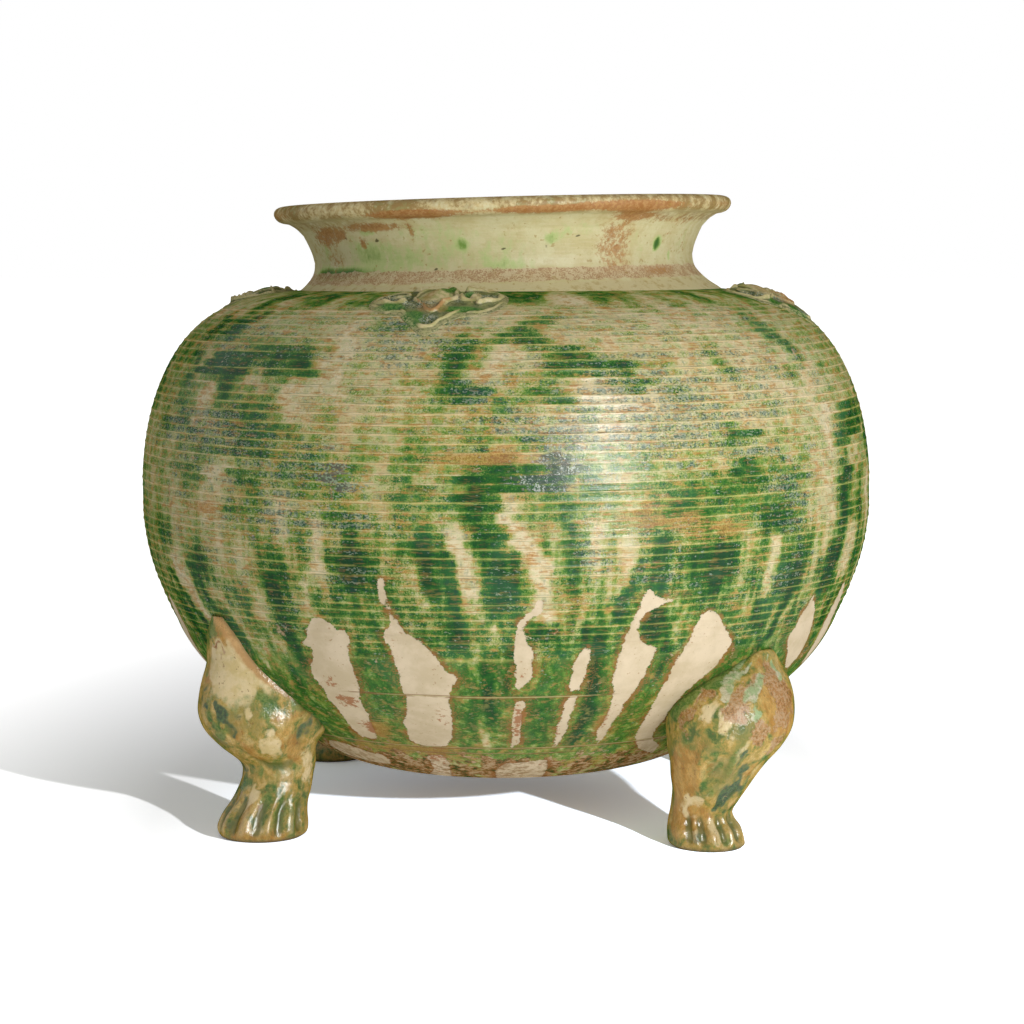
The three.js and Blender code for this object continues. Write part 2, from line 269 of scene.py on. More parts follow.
class Glaze:
    """A node material being put together, with short ways to add what it needs. Sizes are in millimetres.

    Its color is what has been laid so far. The material's functions keep its noises and fields on it."""

    def __init__(self, name):
        self.material = bpy.data.materials.new(name)
        self.material.use_nodes = True
        self.tree = self.material.node_tree
        self.shader = self.tree.nodes["Principled BSDF"]
        self.here = self.node("TexCoord").outputs["Object"]
        self.color = None

    def feed(self, socket, value):
        """Links a socket's value, or sets it where it is a number or a colour."""
        if isinstance(value, bpy.types.NodeSocket):
            self.tree.links.new(value, socket)
        elif socket.type == "RGBA":
            socket.default_value = (*value, 1)
        else:
            socket.default_value = value

    def node(self, kind, *values, **settings):
        """A new node with these settings, and its first sockets fed with these values."""
        node = self.tree.nodes.new("ShaderNode" + kind)
        for setting, choice in settings.items():
            setattr(node, setting, choice)
        for socket, value in zip(node.inputs, values):
            self.feed(socket, value)
        return node

    def math(self, operation, *values):
        return self.node("Math", *values, operation=operation).outputs[0]

    def add(self, *terms):
        total = terms[0]
        for term in terms[1:]:
            total = self.math("ADD", total, term)
        return total

    def times(self, *factors):
        product = factors[0]
        for factor in factors[1:]:
            product = self.math("MULTIPLY", product, factor)
        return product

    def off(self, value):
        """1 less a value."""
        return self.math("SUBTRACT", 1.0, value)

    def sway(self, noise, amount):
        """A noise about 0.5 turned into a sway about 0."""
        return self.math("MULTIPLY_ADD", noise, amount, -0.5 * amount)

    def step(self, value, low, high):
        """A soft step from 0 at low to 1 at high, or the other way round where high is the lower."""
        return self.node("MapRange", value, low, high, interpolation_type="SMOOTHSTEP").outputs["Result"]

    def edge(self, value, low, high, *sways):
        """A soft step of a value that noises sway, each given with its amount."""
        return self.step(self.add(value, *[self.sway(*sway) for sway in sways]), low, high)

    def field(self, name):
        """A number that the mesh carries at each point."""
        return self.node("Attribute", attribute_name=name).outputs["Fac"]

    def stretch(self, factors):
        """The place with each direction stretched."""
        return self.node("VectorMath", self.here, factors, operation="MULTIPLY").outputs[0]

    def shift(self, by):
        """The place moved on, so that a noise there differs from the others."""
        return self.node("VectorMath", self.here, by, operation="ADD").outputs[0]

    def noise(self, vector, size, detail, roughness=0.5, distortion=0.0):
        """A noise with features of about this size, or in the vector's own units where the size is None."""
        node = self.node("TexNoise", vector)
        node.inputs["Scale"].default_value = 1 if size is None else 1 / (size * MM)
        node.inputs["Detail"].default_value = detail
        node.inputs["Roughness"].default_value = roughness
        node.inputs["Distortion"].default_value = distortion
        return node.outputs["Fac"]

    def groove_noise(self, by, length, steps, detail, roughness):
        """A noise that differs from groove to groove: features this long, and so many steps to a groove."""
        apart = self.node("SeparateXYZ", self.shift(by))
        flat = [self.times(apart.outputs[axis], 1 / (length * MM)) for axis in range(2)]
        joined = self.node("CombineXYZ", *flat, self.times(self.field("band"), steps))
        return self.noise(joined.outputs[0], None, detail, roughness)

    def grains(self, vector, size):
        """Three random numbers for each little cell of about this size."""
        cells = self.node("TexVoronoi", vector)
        cells.inputs["Scale"].default_value = 1 / (size * MM)
        apart = self.node("SeparateColor", cells.outputs["Color"])
        return apart.outputs[0], apart.outputs[1], apart.outputs[2]

    def mix(self, share, a, b):
        """Between two colours."""
        node = self.node("Mix", share, data_type="RGBA")
        self.feed(node.inputs[6], a)
        self.feed(node.inputs[7], b)
        return node.outputs[2]

    def mottle(self, noise, low, high, a, b):
        """Colour a where a noise is under low, and b where it is over high."""
        return self.mix(self.step(noise, low, high), a, b)

    def coat(self, color, *shares):
        """Lays a colour over what is there by the product of the shares."""
        self.color = self.mix(self.times(*shares), self.color, color)

    def blend(self, share, a, b):
        """Between two numbers."""
        node = self.node("Mix", share)
        self.feed(node.inputs[2], a)
        self.feed(node.inputs[3], b)
        return node.outputs[0]

    def ramp(self, value, stops):
        """A colour from a value, by places from 0 to 1 and their colours."""
        node = self.node("ValToRGB", value)
        ramp = node.color_ramp
        while len(ramp.elements) < len(stops):
            ramp.elements.new(0.5)
        for element, (position, color) in zip(ramp.elements, stops):
            element.position = position
            element.color = (*color, 1)
        return node.outputs["Color"]

    def finish(self, roughness, height, depth, shine=GLAZE_SHINE):
        """Joins the colour, the roughness and a height, whose 1 is this deep, to the shader."""
        glance = self.node("LayerWeight").outputs["Facing"]
        bump = self.node("Bump")
        bump.inputs["Distance"].default_value = depth * MM
        bump.inputs["Strength"].default_value = 1
        self.feed(bump.inputs["Height"], height)
        inputs = {
            "Base Color": self.color,
            "Roughness": roughness,
            "IOR": GLASS_IOR,
            "Specular IOR Level": self.times(self.step(glance, GLANCE_DULL, GLANCE_CLEAR), shine),
            "Normal": bump.outputs["Normal"],
        }
        for name, value in inputs.items():
            self.feed(self.shader.inputs[name], value)
        return self.material


# Glaze colours, from cream to the darkest green
PALE_CREAM = (0.64, 0.56, 0.36)
CREAM = (0.575, 0.485, 0.27)
SAGE = (0.41, 0.43, 0.19)
LEAF = (0.235, 0.30, 0.062)
GREEN = (0.105, 0.225, 0.035)
DEEP_GREEN = (0.035, 0.135, 0.018)
BOTTLE = (0.011, 0.085, 0.012)
INK_GREEN = (0.008, 0.048, 0.014)
SEA_GREEN = (0.045, 0.16, 0.07)
GREEN_RAMP = [
    (0.0, PALE_CREAM), (0.16, CREAM), (0.32, SAGE), (0.43, LEAF),
    (0.55, GREEN), (0.68, DEEP_GREEN), (0.82, BOTTLE), (1.0, INK_GREEN),
]
# and what lies over them on the ridges and in the grooves
RIDGE_RAMP = [
    (0.05, (0.70, 0.58, 0.34)), (0.26, (0.64, 0.48, 0.20)),
    (0.42, (0.49, 0.43, 0.13)), (0.7, (0.36, 0.37, 0.10)),
]
OLIVE_ROW = (0.33, 0.34, 0.13)
HONEY_ROW = (0.50, 0.36, 0.15)
RIDGE_SHADE = (0.05, 0.09, 0.02)
WHITE_SPECK = (0.56, 0.55, 0.40)
GREY_SPECK = (0.25, 0.32, 0.22)
INK_SPECK = (0.02, 0.055, 0.045)
GREY_TEAL = (0.14, 0.205, 0.155)
PAINTED_IRIDESCENT_SHEEN = (0.46, 0.50, 0.44)
DARK_BLUE = (0.035, 0.065, 0.055)
PURPLE_GREY = (0.10, 0.085, 0.09)
# Browns, from ochre glaze to the stained foot of the wall
RUST = (0.33, 0.13, 0.035)
OCHRE = (0.47, 0.27, 0.075)
TAWNY = (0.34, 0.21, 0.06)
MOSS = (0.30, 0.30, 0.08)
STAIN_RAMP = [
    (0.38, (0.035, 0.06, 0.015)), (0.46, (0.18, 0.085, 0.03)),
    (0.54, (0.32, 0.16, 0.06)), (0.61, (0.46, 0.33, 0.19)),
]
RUST_RIM = (0.28, 0.12, 0.035)
CUT_PALE = (0.42, 0.36, 0.16)
CUT_DARK = (0.2, 0.09, 0.03)
INSIDE_STRAW = (0.56, 0.47, 0.28)
INSIDE_BROWN = (0.42, 0.30, 0.14)
# Bare clay and what marks it
BARE_CLAY = (0.65, 0.54, 0.38)
CLAY_SHADE = (0.54, 0.44, 0.285)
CLAY_BROWN = (0.30, 0.19, 0.09)
CLAY_FLECK = (0.33, 0.13, 0.05)
CLAY_SPOT = (0.3, 0.14, 0.06)
CLAY_GRAIN = (0.45, 0.36, 0.24)

# Where the front's layout is repeated round the back, so that each foot meets the same part of it
LAYOUT_TURN = ([-180, -138.1, -90, 90, 130, 180], [-20.8, -52.9, -90, 90, 40.6, -20.8])


def layout_azimuth(azimuths):
    wrapped = (azimuths + 180) % 360 - 180
    return np.interp(wrapped, *LAYOUT_TURN)


# Patches of the wall that the glaze missed, as azimuths and heights round their edges
BARE_PATCHES = [
    [
        (-29.8, 85), (-28.2, 84), (-27.5, 83), (-26.2, 80.5), (-25, 80.8), (-24.5, 76), (-25.3, 74.5),
        (-25.5, 68), (-25.2, 62), (-25.6, 58.5), (-26.5, 55.5), (-26.8, 51), (-26.6, 48.5), (-27.8, 45.5),
        (-28.8, 41.5), (-30, 38), (-31.5, 36.8), (-34.3, 37), (-35, 40), (-34, 43.5), (-33.2, 47),
        (-32.8, 51), (-33.6, 53.8), (-32.8, 56), (-33.2, 59.5), (-33.8, 62.5), (-33.5, 66.5), (-32.3, 69.5),
        (-32, 73), (-33.6, 74.7), (-32.3, 77), (-31.8, 81), (-30.6, 83),
    ],
    [
        (-18.2, 100), (-18.8, 95.5), (-18.5, 92), (-17.8, 88.5), (-17.4, 86), (-17.2, 83.5), (-18.3, 81.5),
        (-18.9, 78.5), (-18.1, 75), (-17.7, 70), (-17.4, 65), (-17.7, 61.5), (-17.4, 57), (-17.9, 53),
        (-18.4, 50.3), (-20.2, 46.5), (-20.6, 43), (-21.5, 40), (-21.9, 37.5), (-20.8, 36.2), (-19.5, 35.3),
        (-17, 35.2), (-15, 35.2), (-13.2, 36.8), (-11.8, 40), (-10.9, 44.5), (-10.3, 48), (-10, 52),
        (-10.1, 56), (-9.4, 60), (-8, 65), (-8.4, 66), (-9.8, 67.5), (-10.6, 70.5), (-12, 74), (-13.2, 77.5),
        (-15, 80), (-15.9, 82.2), (-16.2, 84.5), (-17, 87), (-17.3, 91), (-17.6, 95), (-17.6, 99),
    ],
    [
        (4.1, 92), (4, 89), (2.5, 86.5), (1.6, 84), (1.4, 80), (1, 76), (1.1, 72), (1.4, 68), (1.2, 62),
        (1.6, 60.2), (3.4, 63), (3.9, 66), (3.8, 70), (4, 74), (3.2, 76), (2.7, 79), (2.5, 82), (3.2, 85.3),
        (5, 87.5), (5.4, 91),
    ],
    [
        (3.3, 79.9), (4.4, 80.4), (4.7, 79), (3.9, 78), (3, 78.6),
    ],
    [
        (21.6, 80.4), (23, 82.6), (24.1, 81.6), (23.2, 79.4),
    ],
    [
        (1.4, 56), (2.8, 56), (3.2, 54), (2.4, 52), (2.6, 47), (2.3, 43), (2.7, 38.5), (2, 36.5),
        (0.7, 35.3), (0.8, 38), (1, 43), (0.6, 46), (0.9, 50), (1.2, 53),
    ],
    [
        (10.2, 69.5), (11.2, 73), (12.2, 75.3), (12.8, 73.5), (12.7, 70), (12.4, 66), (11.9, 61.5),
        (11.7, 59), (10.3, 59.5), (10, 63), (10.4, 67),
    ],
    [
        (10.3, 57.5), (11.7, 57.5), (11.6, 53), (11.2, 49.5), (11.5, 47), (11.7, 43), (11.4, 38),
        (10.8, 35.3), (10.1, 35.3), (10.1, 40), (9.5, 46), (9.9, 48), (9.8, 55),
    ],
    [
        (20.6, 94.5), (19.8, 91.5), (19.5, 88), (19.1, 86), (18.7, 83), (18.4, 80), (18, 76), (17.4, 71),
        (17.2, 66), (17.2, 63), (18, 58), (18.2, 54), (18.4, 50), (18.6, 46), (18.3, 43), (19, 40),
        (19.9, 37), (20.4, 34.5), (21, 37), (21.2, 39), (20.8, 42), (20.6, 46), (20.9, 50), (20.8, 53.5),
        (21.5, 57), (22, 60), (22.4, 63), (22.9, 66), (23.2, 70), (23.7, 73.5), (22.3, 74.5), (20.6, 76.5),
        (19.8, 80), (19.9, 83.5), (21.2, 86.8), (23.2, 88.6), (25, 89.8), (23.5, 90.5), (21.8, 92),
    ],
    [
        (31.6, 85.5), (30.5, 84.5), (30, 82), (29.5, 79.5), (29.3, 75), (28.5, 72), (27.8, 69), (27.5, 66),
        (27.2, 62), (26.8, 58), (26.8, 53), (27.1, 50), (27.3, 46), (27.9, 43), (28.8, 40), (29.5, 37),
        (31.2, 34.5), (34, 31), (42, 27), (41, 31), (36.5, 34), (34.2, 37), (33.3, 40), (32.7, 43.5),
        (31.9, 46.5), (31.6, 50), (31.7, 52.5), (32.5, 56), (33.5, 59), (35, 62), (36.6, 65.5), (37, 69.5),
        (38.1, 72), (37.5, 74.5), (36, 77.5), (34.8, 80), (34.2, 82), (33, 84),
    ],
    [
        (55.7, 85.5), (57, 82.5), (58.6, 79), (60, 74), (61, 68), (61.5, 62), (60.5, 57.5), (58.5, 58.5),
        (57, 60.5), (55.8, 63), (54.6, 66), (53, 69.5), (52.8, 71.5), (53.8, 75), (54, 79), (55, 82),
    ],
    [
        (68.5, 88), (70.5, 84), (72, 76), (72.5, 66), (72, 57), (69.5, 56), (67.5, 60), (66.6, 68), (67, 78),
    ],
    [
        (81, 77), (82.3, 72), (83, 60), (82.2, 48), (80.8, 40), (79.4, 43), (78.6, 52), (78.2, 62),
        (79.2, 71),
    ],
    [
        (-84, 72), (-82.6, 67), (-82, 55), (-83.2, 45), (-85.6, 39), (-87, 50), (-86.2, 62),
    ],
    [
        (-72, 84), (-70.5, 82), (-70, 72), (-71, 60), (-74, 48), (-77, 44), (-78, 52), (-76, 66), (-74, 78),
    ],
    [
        (-3.8, 24), (-4.2, 18), (-4.4, 14), (12, 14), (11.4, 20), (10.6, 26), (9.6, 29.6), (4, 28.4),
        (0, 28), (-2, 27),
    ],
    [
        (-50, 32.5), (-44, 32.2), (-38, 29.5), (-34, 29), (-33.5, 26.5), (-36, 24), (-44, 24), (-52, 25),
        (-54, 29),
    ],
    [
        (-20.4, 31), (-16, 31.6), (-15.4, 28), (-17, 24), (-20, 19), (-28, 17), (-27, 20), (-22, 23.5),
        (-20.6, 27),
    ],
]

# Round splashes of green on two of the bare patches: azimuth, height, radius in millimetres
GREEN_DROPS = [(4.9, 81.3, 4.2), (22.5, 81.7, 5.6)]

# How far from a patch's edge its depth is still measured, in millimetres
DEPTH_LIMIT = 9

# Blocks of glaze in the combed part: azimuths and heights of their edges, and how much green they add or
# take. The ridges cut them level, and those of the upper wall have the crisper edges.
BLOCKS = [
    (-64, -51, 176.5, 184.5, 0.24), (-57, -50.5, 180, 184, 0.15), (-45, -30, 173, 175.5, 0.22),
    (-58, -30, 170.5, 173, 0.3), (-64, -61, 169, 173, 0.35), (-57, -30, 167.8, 170.5, 0.42),
    (-58, -44, 165.8, 168, 0.42), (-33.5, -29, 165.8, 168, 0.3), (-58, -45, 163.5, 165.8, 0.36),
    (-40.5, -34, 163.5, 165.8, 0.4), (-63, -58.5, 156, 166, 0.25), (-52, -46, 156.5, 162, 0.3),
    (-44.5, -38, 156, 161, 0.12), (-45, -40.5, 160, 164.8, -0.28), (-35.5, -30.5, 158.5, 165, -0.34),
    (-55.5, -53, 149, 164, -0.35), (-36, -30.5, 149, 158.5, -0.2), (-52, -45, 149.5, 156.5, 0.16),
    (-44, -36, 149.5, 156, 0.18), (-69, -56, 149.5, 156, 0.14), (-66, -56, 145.5, 149, 0.3),
    (-48, -35, 146.5, 149.5, 0.2), (-60, -35, 142.5, 146.5, 0.16), (-60, -36, 137.5, 141.5, 0.12),
    (-60, -50.5, 129.5, 135.5, 0.16), (-50, -44.5, 126.5, 134, -0.36), (-44, -38, 125.5, 131.5, 0.26),
    (-57, -53, 124, 131, 0.2), (-44, -33, 113, 123.5, 0.08), (-52, -44, 113, 126.5, -0.14),
    (-68, -61, 104, 113, 0.22), (-56.5, -50.5, 95, 104.5, 0.3), (-63, -57, 92, 102.5, -0.28),
    (-50, -39.5, 96, 111, -0.16), (-39, -31.5, 88, 108, 0.16), (-31, -26.3, 95, 104.5, -0.22),
    (-26, -18.9, 96, 108.5, 0.26), (-13, -8.8, 105, 112.5, 0.26), (-20.3, -15.6, 126.5, 134.5, -0.24),
    (-15, -10, 124, 134, 0.1), (-22.5, -16, 179.5, 183.5, 0.3), (-10.5, -4, 167, 174.8, 0.4),
    (-10, 7.5, 175.5, 177.8, 0.34), (-12, -9, 171, 174, 0.15), (-10, -2.8, 161, 167, 0.3),
    (-8.6, -2.6, 157.8, 160.8, 0.42), (-8.8, -5, 154.6, 157.4, 0.5), (2.8, 11, 180.5, 184.3, 0.36),
    (0.5, 8, 178, 180.4, 0.42), (6, 12.4, 173, 175.2, 0.44), (5, 14, 170, 172.6, 0.36),
    (5, 19.5, 167.8, 170, 0.36), (9, 20, 165.4, 167.8, 0.36), (0, 4.5, 164, 168, 0.2),
    (5, 16, 162.9, 165.4, 0.24), (16.5, 20.8, 162.9, 165.4, 0.44), (4.5, 9, 160.7, 162.9, 0.18),
    (17, 22.6, 160.7, 162.9, 0.42), (3, 10.4, 158, 160.7, 0.3), (21.8, 24.8, 158, 160.7, 0.42),
    (5, 10.4, 155.2, 158, 0.4), (-4, 5, 163, 173, -0.24), (-29.8, -25, 158, 181, -0.3),
    (10.6, 17, 155.2, 162.9, -0.36), (34, 37, 146.5, 148.8, 0.4), (32.6, 39, 143.9, 146.5, 0.42),
    (34, 36, 140, 143.9, 0.34), (-4.3, 2.2, 136.8, 139, 0.36), (-10, 3, 139, 142.6, -0.16),
    (-10.5, -5.6, 126, 137, -0.3), (-6.6, -0.6, 123, 136.5, 0.28), (-5.6, -1.4, 111, 123, 0.2),
    (0.5, 3, 126, 136.5, 0.2), (32.6, 37, 131.8, 136.5, 0.4), (30, 40, 124.5, 131.8, 0.22),
    (40, 48.5, 121, 133, 0.08), (28, 35, 112, 124.5, 0.16), (38.5, 45.5, 110, 120.5, 0.28),
    (31.2, 33.7, 109, 118, -0.4), (19.4, 21.2, 117, 131, 0.26), (23.4, 27.5, 118, 128, 0.32),
    (22, 31, 109, 117, 0.04), (24, 36, 104.5, 108, 0.3), (27, 35, 94, 104.5, 0.24),
    (49.3, 55, 112, 137, -0.26), (44.5, 50, 88, 105, 0.26), (50.5, 54, 85, 105, -0.2),
    (60.5, 74, 140, 152, 0.34), (60.5, 68, 110, 134, 0.34), (68, 76, 100, 132, -0.05),
    (64, 70, 90, 108, -0.2), (49, 52.5, 159, 168, 0.28), (45.5, 57, 172, 181, 0.12),
    (56, 60.5, 86, 104, 0.3), (70, 84, 85, 104, 0.12), (-80, -68, 120, 150, -0.1),
    (-86, -74, 150, 175, 0.12),
]
BLOCK_GAIN = 1.1
BLOCK_BLUR_AROUND = 1.9
BLOCK_BLUR_HIGH = 1.7
BLOCK_BLUR_LOW = 4
HIGH_BLOCKS = 134

# Broad washes: azimuth, height, half of each, and how much green they add or take
WASHES = [
    (-46, 168, 20, 16, 0.05), (-46, 148, 18, 12, 0.04), (36, 168, 26, 20, -0.2), (-20, 153, 10, 16, -0.16),
    (-20, 172, 9, 9, -0.1), (14, 150, 10, 12, -0.2), (50, 155, 14, 20, -0.14), (-22, 118, 10, 9, -0.06),
    (-44, 160, 16, 13, -0.13), (-8, 179, 30, 11, -0.13), (24, 124, 11, 12, -0.13), (10, 90, 6, 11, -0.1),
    (19, 104, 5, 9, -0.12), (-3, 138, 12, 12, 0.02), (18, 112, 4, 10, 0.04), (4, 128, 12, 8, 0.1),
    (-12, 136, 10, 8, 0.05), (-5, 104, 9, 10, 0.06), (14, 138, 10, 9, 0.08), (-26, 119, 9, 8, -0.06),
    (0, 186, 80, 5, -0.08), (66, 122, 10, 30, -0.12), (4.9, 81.3, 2.2, 5, 0.3), (22.5, 81.7, 2.6, 6, 0.3),
    (-62, 135, 10, 30, -0.12), (-50, 124, 13, 18, -0.12), (-44, 104, 12, 14, -0.1), (-66, 100, 10, 26, -0.1),
    (25, 140, 9, 9, -0.1), (8, 118, 8, 9, -0.14), (-74, 110, 10, 26, 0.06),
]

# Strokes of green on the smooth band above the comb, told in the same way
SHOULDER_STROKES = [
    (3, 191, 9, 3, 0.3), (22, 190.5, 6, 3, 0.3), (14, 189, 4, 2.2, -0.3), (31, 189, 3.5, 2.2, -0.2),
    (44, 189.5, 3, 2, 0.36), (35.5, 187.4, 3, 0.9, 0.3), (-12, 187.2, 3, 1, 0.4), (-21, 187, 2.5, 1.6, 0.45),
    (-50, 188.5, 4, 2, -0.25), (-57, 189, 4, 3, 0.25), (-42, 189.5, 5, 3, 0.2), (-37, 188, 3, 2, -0.15),
    (-31, 189, 4, 3, 0.12), (-68, 188, 7, 4, -0.15), (62, 189, 10, 3, 0.2), (76, 188, 6, 4, 0.2),
    (54, 189, 4, 2, -0.1),
]

# Runs of glaze down the wall: azimuth and height of the top, the same of the bottom, half the width in
# degrees, and how much green it adds or takes
RUNS = [
    (-7.6, 116, -4.8, 93, 1.3, -0.54), (-1.2, 126, 1.2, 112, 0.8, -0.5), (1.2, 113, 5.6, 103, 1.2, -0.5),
    (4.6, 106, 5.8, 84, 1.4, -0.52), (17.2, 112, 16.6, 94, 1.1, -0.42), (42.6, 110, 41.5, 88, 1.2, -0.42),
    (-13.5, 104, -12, 88, 1.2, -0.25), (-1.4, 114, -1.2, 88, 1.9, 0.26), (1.2, 108, 1, 92, 1.2, 0.2),
    (-7.5, 96, -7.3, 74, 0.9, 0.34), (-5, 96, -4.9, 70, 0.9, -0.2), (-2, 84, -2, 75, 0.4, -0.25),
    (0.3, 78, 0.1, 60, 0.7, 0.24), (-3.2, 70, -3, 47, 0.9, 0.26), (-6.5, 60, -6, 40, 1.2, 0.08),
    (-5.2, 46, -4.8, 36, 0.9, -0.4), (14, 80, 14.2, 36, 1.1, 0.36), (11.5, 84, 11.3, 76, 0.7, 0.34),
    (19, 104, 16.7, 84, 0.8, 0.36), (25.6, 76, 25.2, 62, 0.7, 0.24), (27.2, 88, 26.2, 70, 0.9, -0.16),
    (49.6, 98, 45.2, 68, 1.1, 0.34), (41.8, 88, 41.5, 76, 1.6, 0.26), (-41, 96, -37.4, 66, 1.5, -0.3),
    (-36, 98, -34.8, 66, 1.4, 0.22), (-38.6, 80, -38, 56, 0.7, 0.2), (-44.5, 84, -39, 62, 1.6, -0.14),
    (-31.6, 98, -30.2, 86, 1.3, -0.25), (-21.5, 80, -22, 60, 2.6, 0.05), (-60, 92, -50, 66, 1.2, -0.25),
    (-56, 100, -47, 70, 1.2, 0.2), (6.5, 56, 6.5, 36, 2.6, 0.1), (-65, 88, -58, 62, 1.5, 0.22),
    (76, 126, 74.5, 84, 1.3, -0.35), (81, 118, 80, 80, 1.4, 0.2), (86.5, 124, 85.5, 70, 1.5, -0.3),
    (-82, 122, -79, 76, 1.4, -0.3), (-87, 116, -85, 70, 1.4, 0.2), (79, 160, 78, 130, 1.5, 0.22),
    (84, 172, 83, 140, 2, -0.2), (48, 84, 47, 68, 1.6, -0.12), (63.8, 84, 63.5, 62, 1.4, 0.15),
    (49, 186, 56, 166, 2.4, 0.28), (33, 176, 38, 160, 1.6, 0.2), (57, 152, 55, 100, 1.4, -0.3),
    (61.5, 140, 60, 95, 1.4, 0.25), (-7.6, 122, -4.4, 96, 1.7, -0.22), (-0.6, 128, 5.2, 100, 1.6, -0.22),
    (8.6, 124, 9.4, 92, 1.2, 0.3), (12.6, 118, 12.2, 90, 1.1, -0.2), (22.4, 112, 21.6, 92, 1.1, 0.3),
    (32.4, 116, 31.6, 90, 1.2, 0.25), (36.6, 112, 35.8, 92, 1.1, -0.25), (-12.2, 116, -10.6, 92, 1.3, 0.3),
    (-23.2, 122, -22.2, 94, 1.6, 0.25), (-27.8, 118, -27, 98, 1.2, -0.3), (-34, 126, -32.6, 100, 1.2, -0.25),
    (66, 136, 64, 90, 1.5, -0.3), (70, 130, 69, 92, 1.5, 0.25), (-61, 100, -49, 64, 1.1, -0.4),
    (-64, 96, -52, 62, 1, 0.3), (-50, 92, -42.5, 64, 1, -0.3), (-8, 112, -7, 96, 0.8, 0.2),
]
RUN_GAIN = 1.25

# Heights, and how much green the glaze holds there where nothing else is laid out
BASE_GREEN = (
    [15, 24, 34, 50, 70, 95, 112, 150, 175, 187, 192],
    [0.42, 0.48, 0.6, 0.66, 0.67, 0.67, 0.62, 0.53, 0.52, 0.45, 0.5],
)

# Brown and ochre stains: azimuth, height, half of each, and how strong
STAINS = [
    (-3, 139.5, 7.5, 3, 0.95), (-48, 120, 4.5, 4.5, 0.75), (-55, 118, 4, 4, 0.35), (-46, 108, 5, 7, 0.45),
    (1, 167.5, 4.5, 5.5, 0.5), (-54.3, 157, 1.6, 8, 0.6), (-33, 154, 3, 5, 0.55), (-50, 183, 4, 3, 0.5),
    (-50, 189, 3.5, 2.2, 0.55), (-38, 188, 3.5, 2.5, 0.5), (28, 113, 6, 6, 0.45), (34, 114, 3, 4, 0.55),
    (51, 128, 3, 10, 0.5), (-17, 151, 6, 3, 0.5), (-15, 101, 3, 6, 0.5), (3, 116, 4, 3, 0.5),
    (18.5, 170, 1.8, 1.2, 0.5), (34, 153, 2, 3, 0.45), (-28, 149, 5, 4, 0.35), (13, 140, 2, 3, 0.55),
    (52, 95, 3, 8, 0.4), (-26.5, 40, 2.6, 6, 0.55), (-24, 46, 2, 7, 0.4), (-6, 38, 3, 4, 0.45),
    (-13, 30, 8, 3, 0.6), (-32, 33, 14, 2.6, 0.8), (-29, 24, 8, 3, 0.75), (-17, 34, 7, 1.6, 0.7),
    (2, 50, 2, 3, 0.45), (16.5, 47, 1.5, 3, 0.4), (18, 27, 8, 3, 0.6), (30, 33.5, 4, 2, 0.5),
    (36, 86, 4, 2.5, 0.4), (-8.5, 21, 5, 5, 0.5), (8, 34.5, 9, 1.3, 0.4), (-30.6, 61, 2, 2.4, 0.8),
    (-29.3, 53.5, 2.4, 3, 0.95), (-28.8, 42, 2.6, 3, 1), (-11.6, 50, 1.4, 6, 0.6), (2, 46, 1, 9, 0.9),
    (18.4, 48, 1.4, 9, 0.6), (10.3, 42, 0.9, 5, 0.6), (-17.6, 75, 0.9, 9, 0.5), (1.6, 66, 0.8, 5, 0.6),
    (9, 90, 5, 9, 0.5), (20, 104, 3, 6, 0.4), (17, 118, 7, 4, 0.35), (-52, 176, 7, 4, 0.35),
    (-42, 150, 4, 5, 0.4), (-6, 104, 2, 8, 0.5), (3.5, 108, 3, 6, 0.5), (22, 122, 8, 7, 0.45),
    (-10, 180, 9, 4, 0.4), (20, 181, 12, 4, 0.35), (51, 74, 3, 6, 0.4), (64, 62, 3, 5, 0.55),
    (-58, 108, 4, 5, 0.3), (25, 26, 8, 4, 0.4),
]

# Where the glaze has broken down to white and blue-black grains, told in the same way
SPECKLES = [
    (-48, 175, 16, 6, 0.3), (-52, 146, 14, 7, 0.45), (-40, 138, 14, 8, 0.3), (-38, 118, 8, 7, 0.4),
    (-25, 118, 9, 6, 0.35), (-16, 175, 8, 7, 0.4), (-14, 184, 8, 3, 0.5), (-4, 157, 6, 7, 0.4),
    (30, 160, 24, 16, 0.3), (36, 137.5, 14, 1.6, 0.8), (46, 122, 5, 10, 0.6), (22, 150, 12, 10, 0.4),
    (6, 147, 7, 5, 0.5), (12, 106, 3, 8, 0.5), (-33, 130, 6, 6, 0.2), (-23, 98, 4, 8, 0.3),
    (0, 99, 4, 8, 0.15), (26, 99, 4, 6, 0.2), (47, 98, 4, 8, 0.3),
]

# Tongues of green that run on into the brown foot of the wall: azimuth, half width and strength
TONGUES = [
    (15, 3, 1), (7.5, 1.4, 0.7), (-9, 2.6, 0.8), (-24.5, 1.8, 0.6), (24.5, 3.4, 0.9), (-16, 1, 0.5),
    (-38, 3, 0.7), (44, 6, 0.8),
]

# A dark blue patch with a painted iridescent sheen, and a dark purple-grey stain
BLUE_PATCH_AND_SHEEN = [
    (7, 138, 4.2, 4, 0.95), (6, 131, 4.2, 4, 0.9), (10, 147, 6, 4, 0.5), (-2, 158, 6, 3, 0.3),
    (15, 134, 5, 6, 0.4),
]
DARK_STAIN = [(-24.8, 133, 2.4, 2.6, 0.9), (-22.6, 129.5, 2.8, 2.6, 0.8), (-26, 121.5, 3, 1.6, 0.35)]


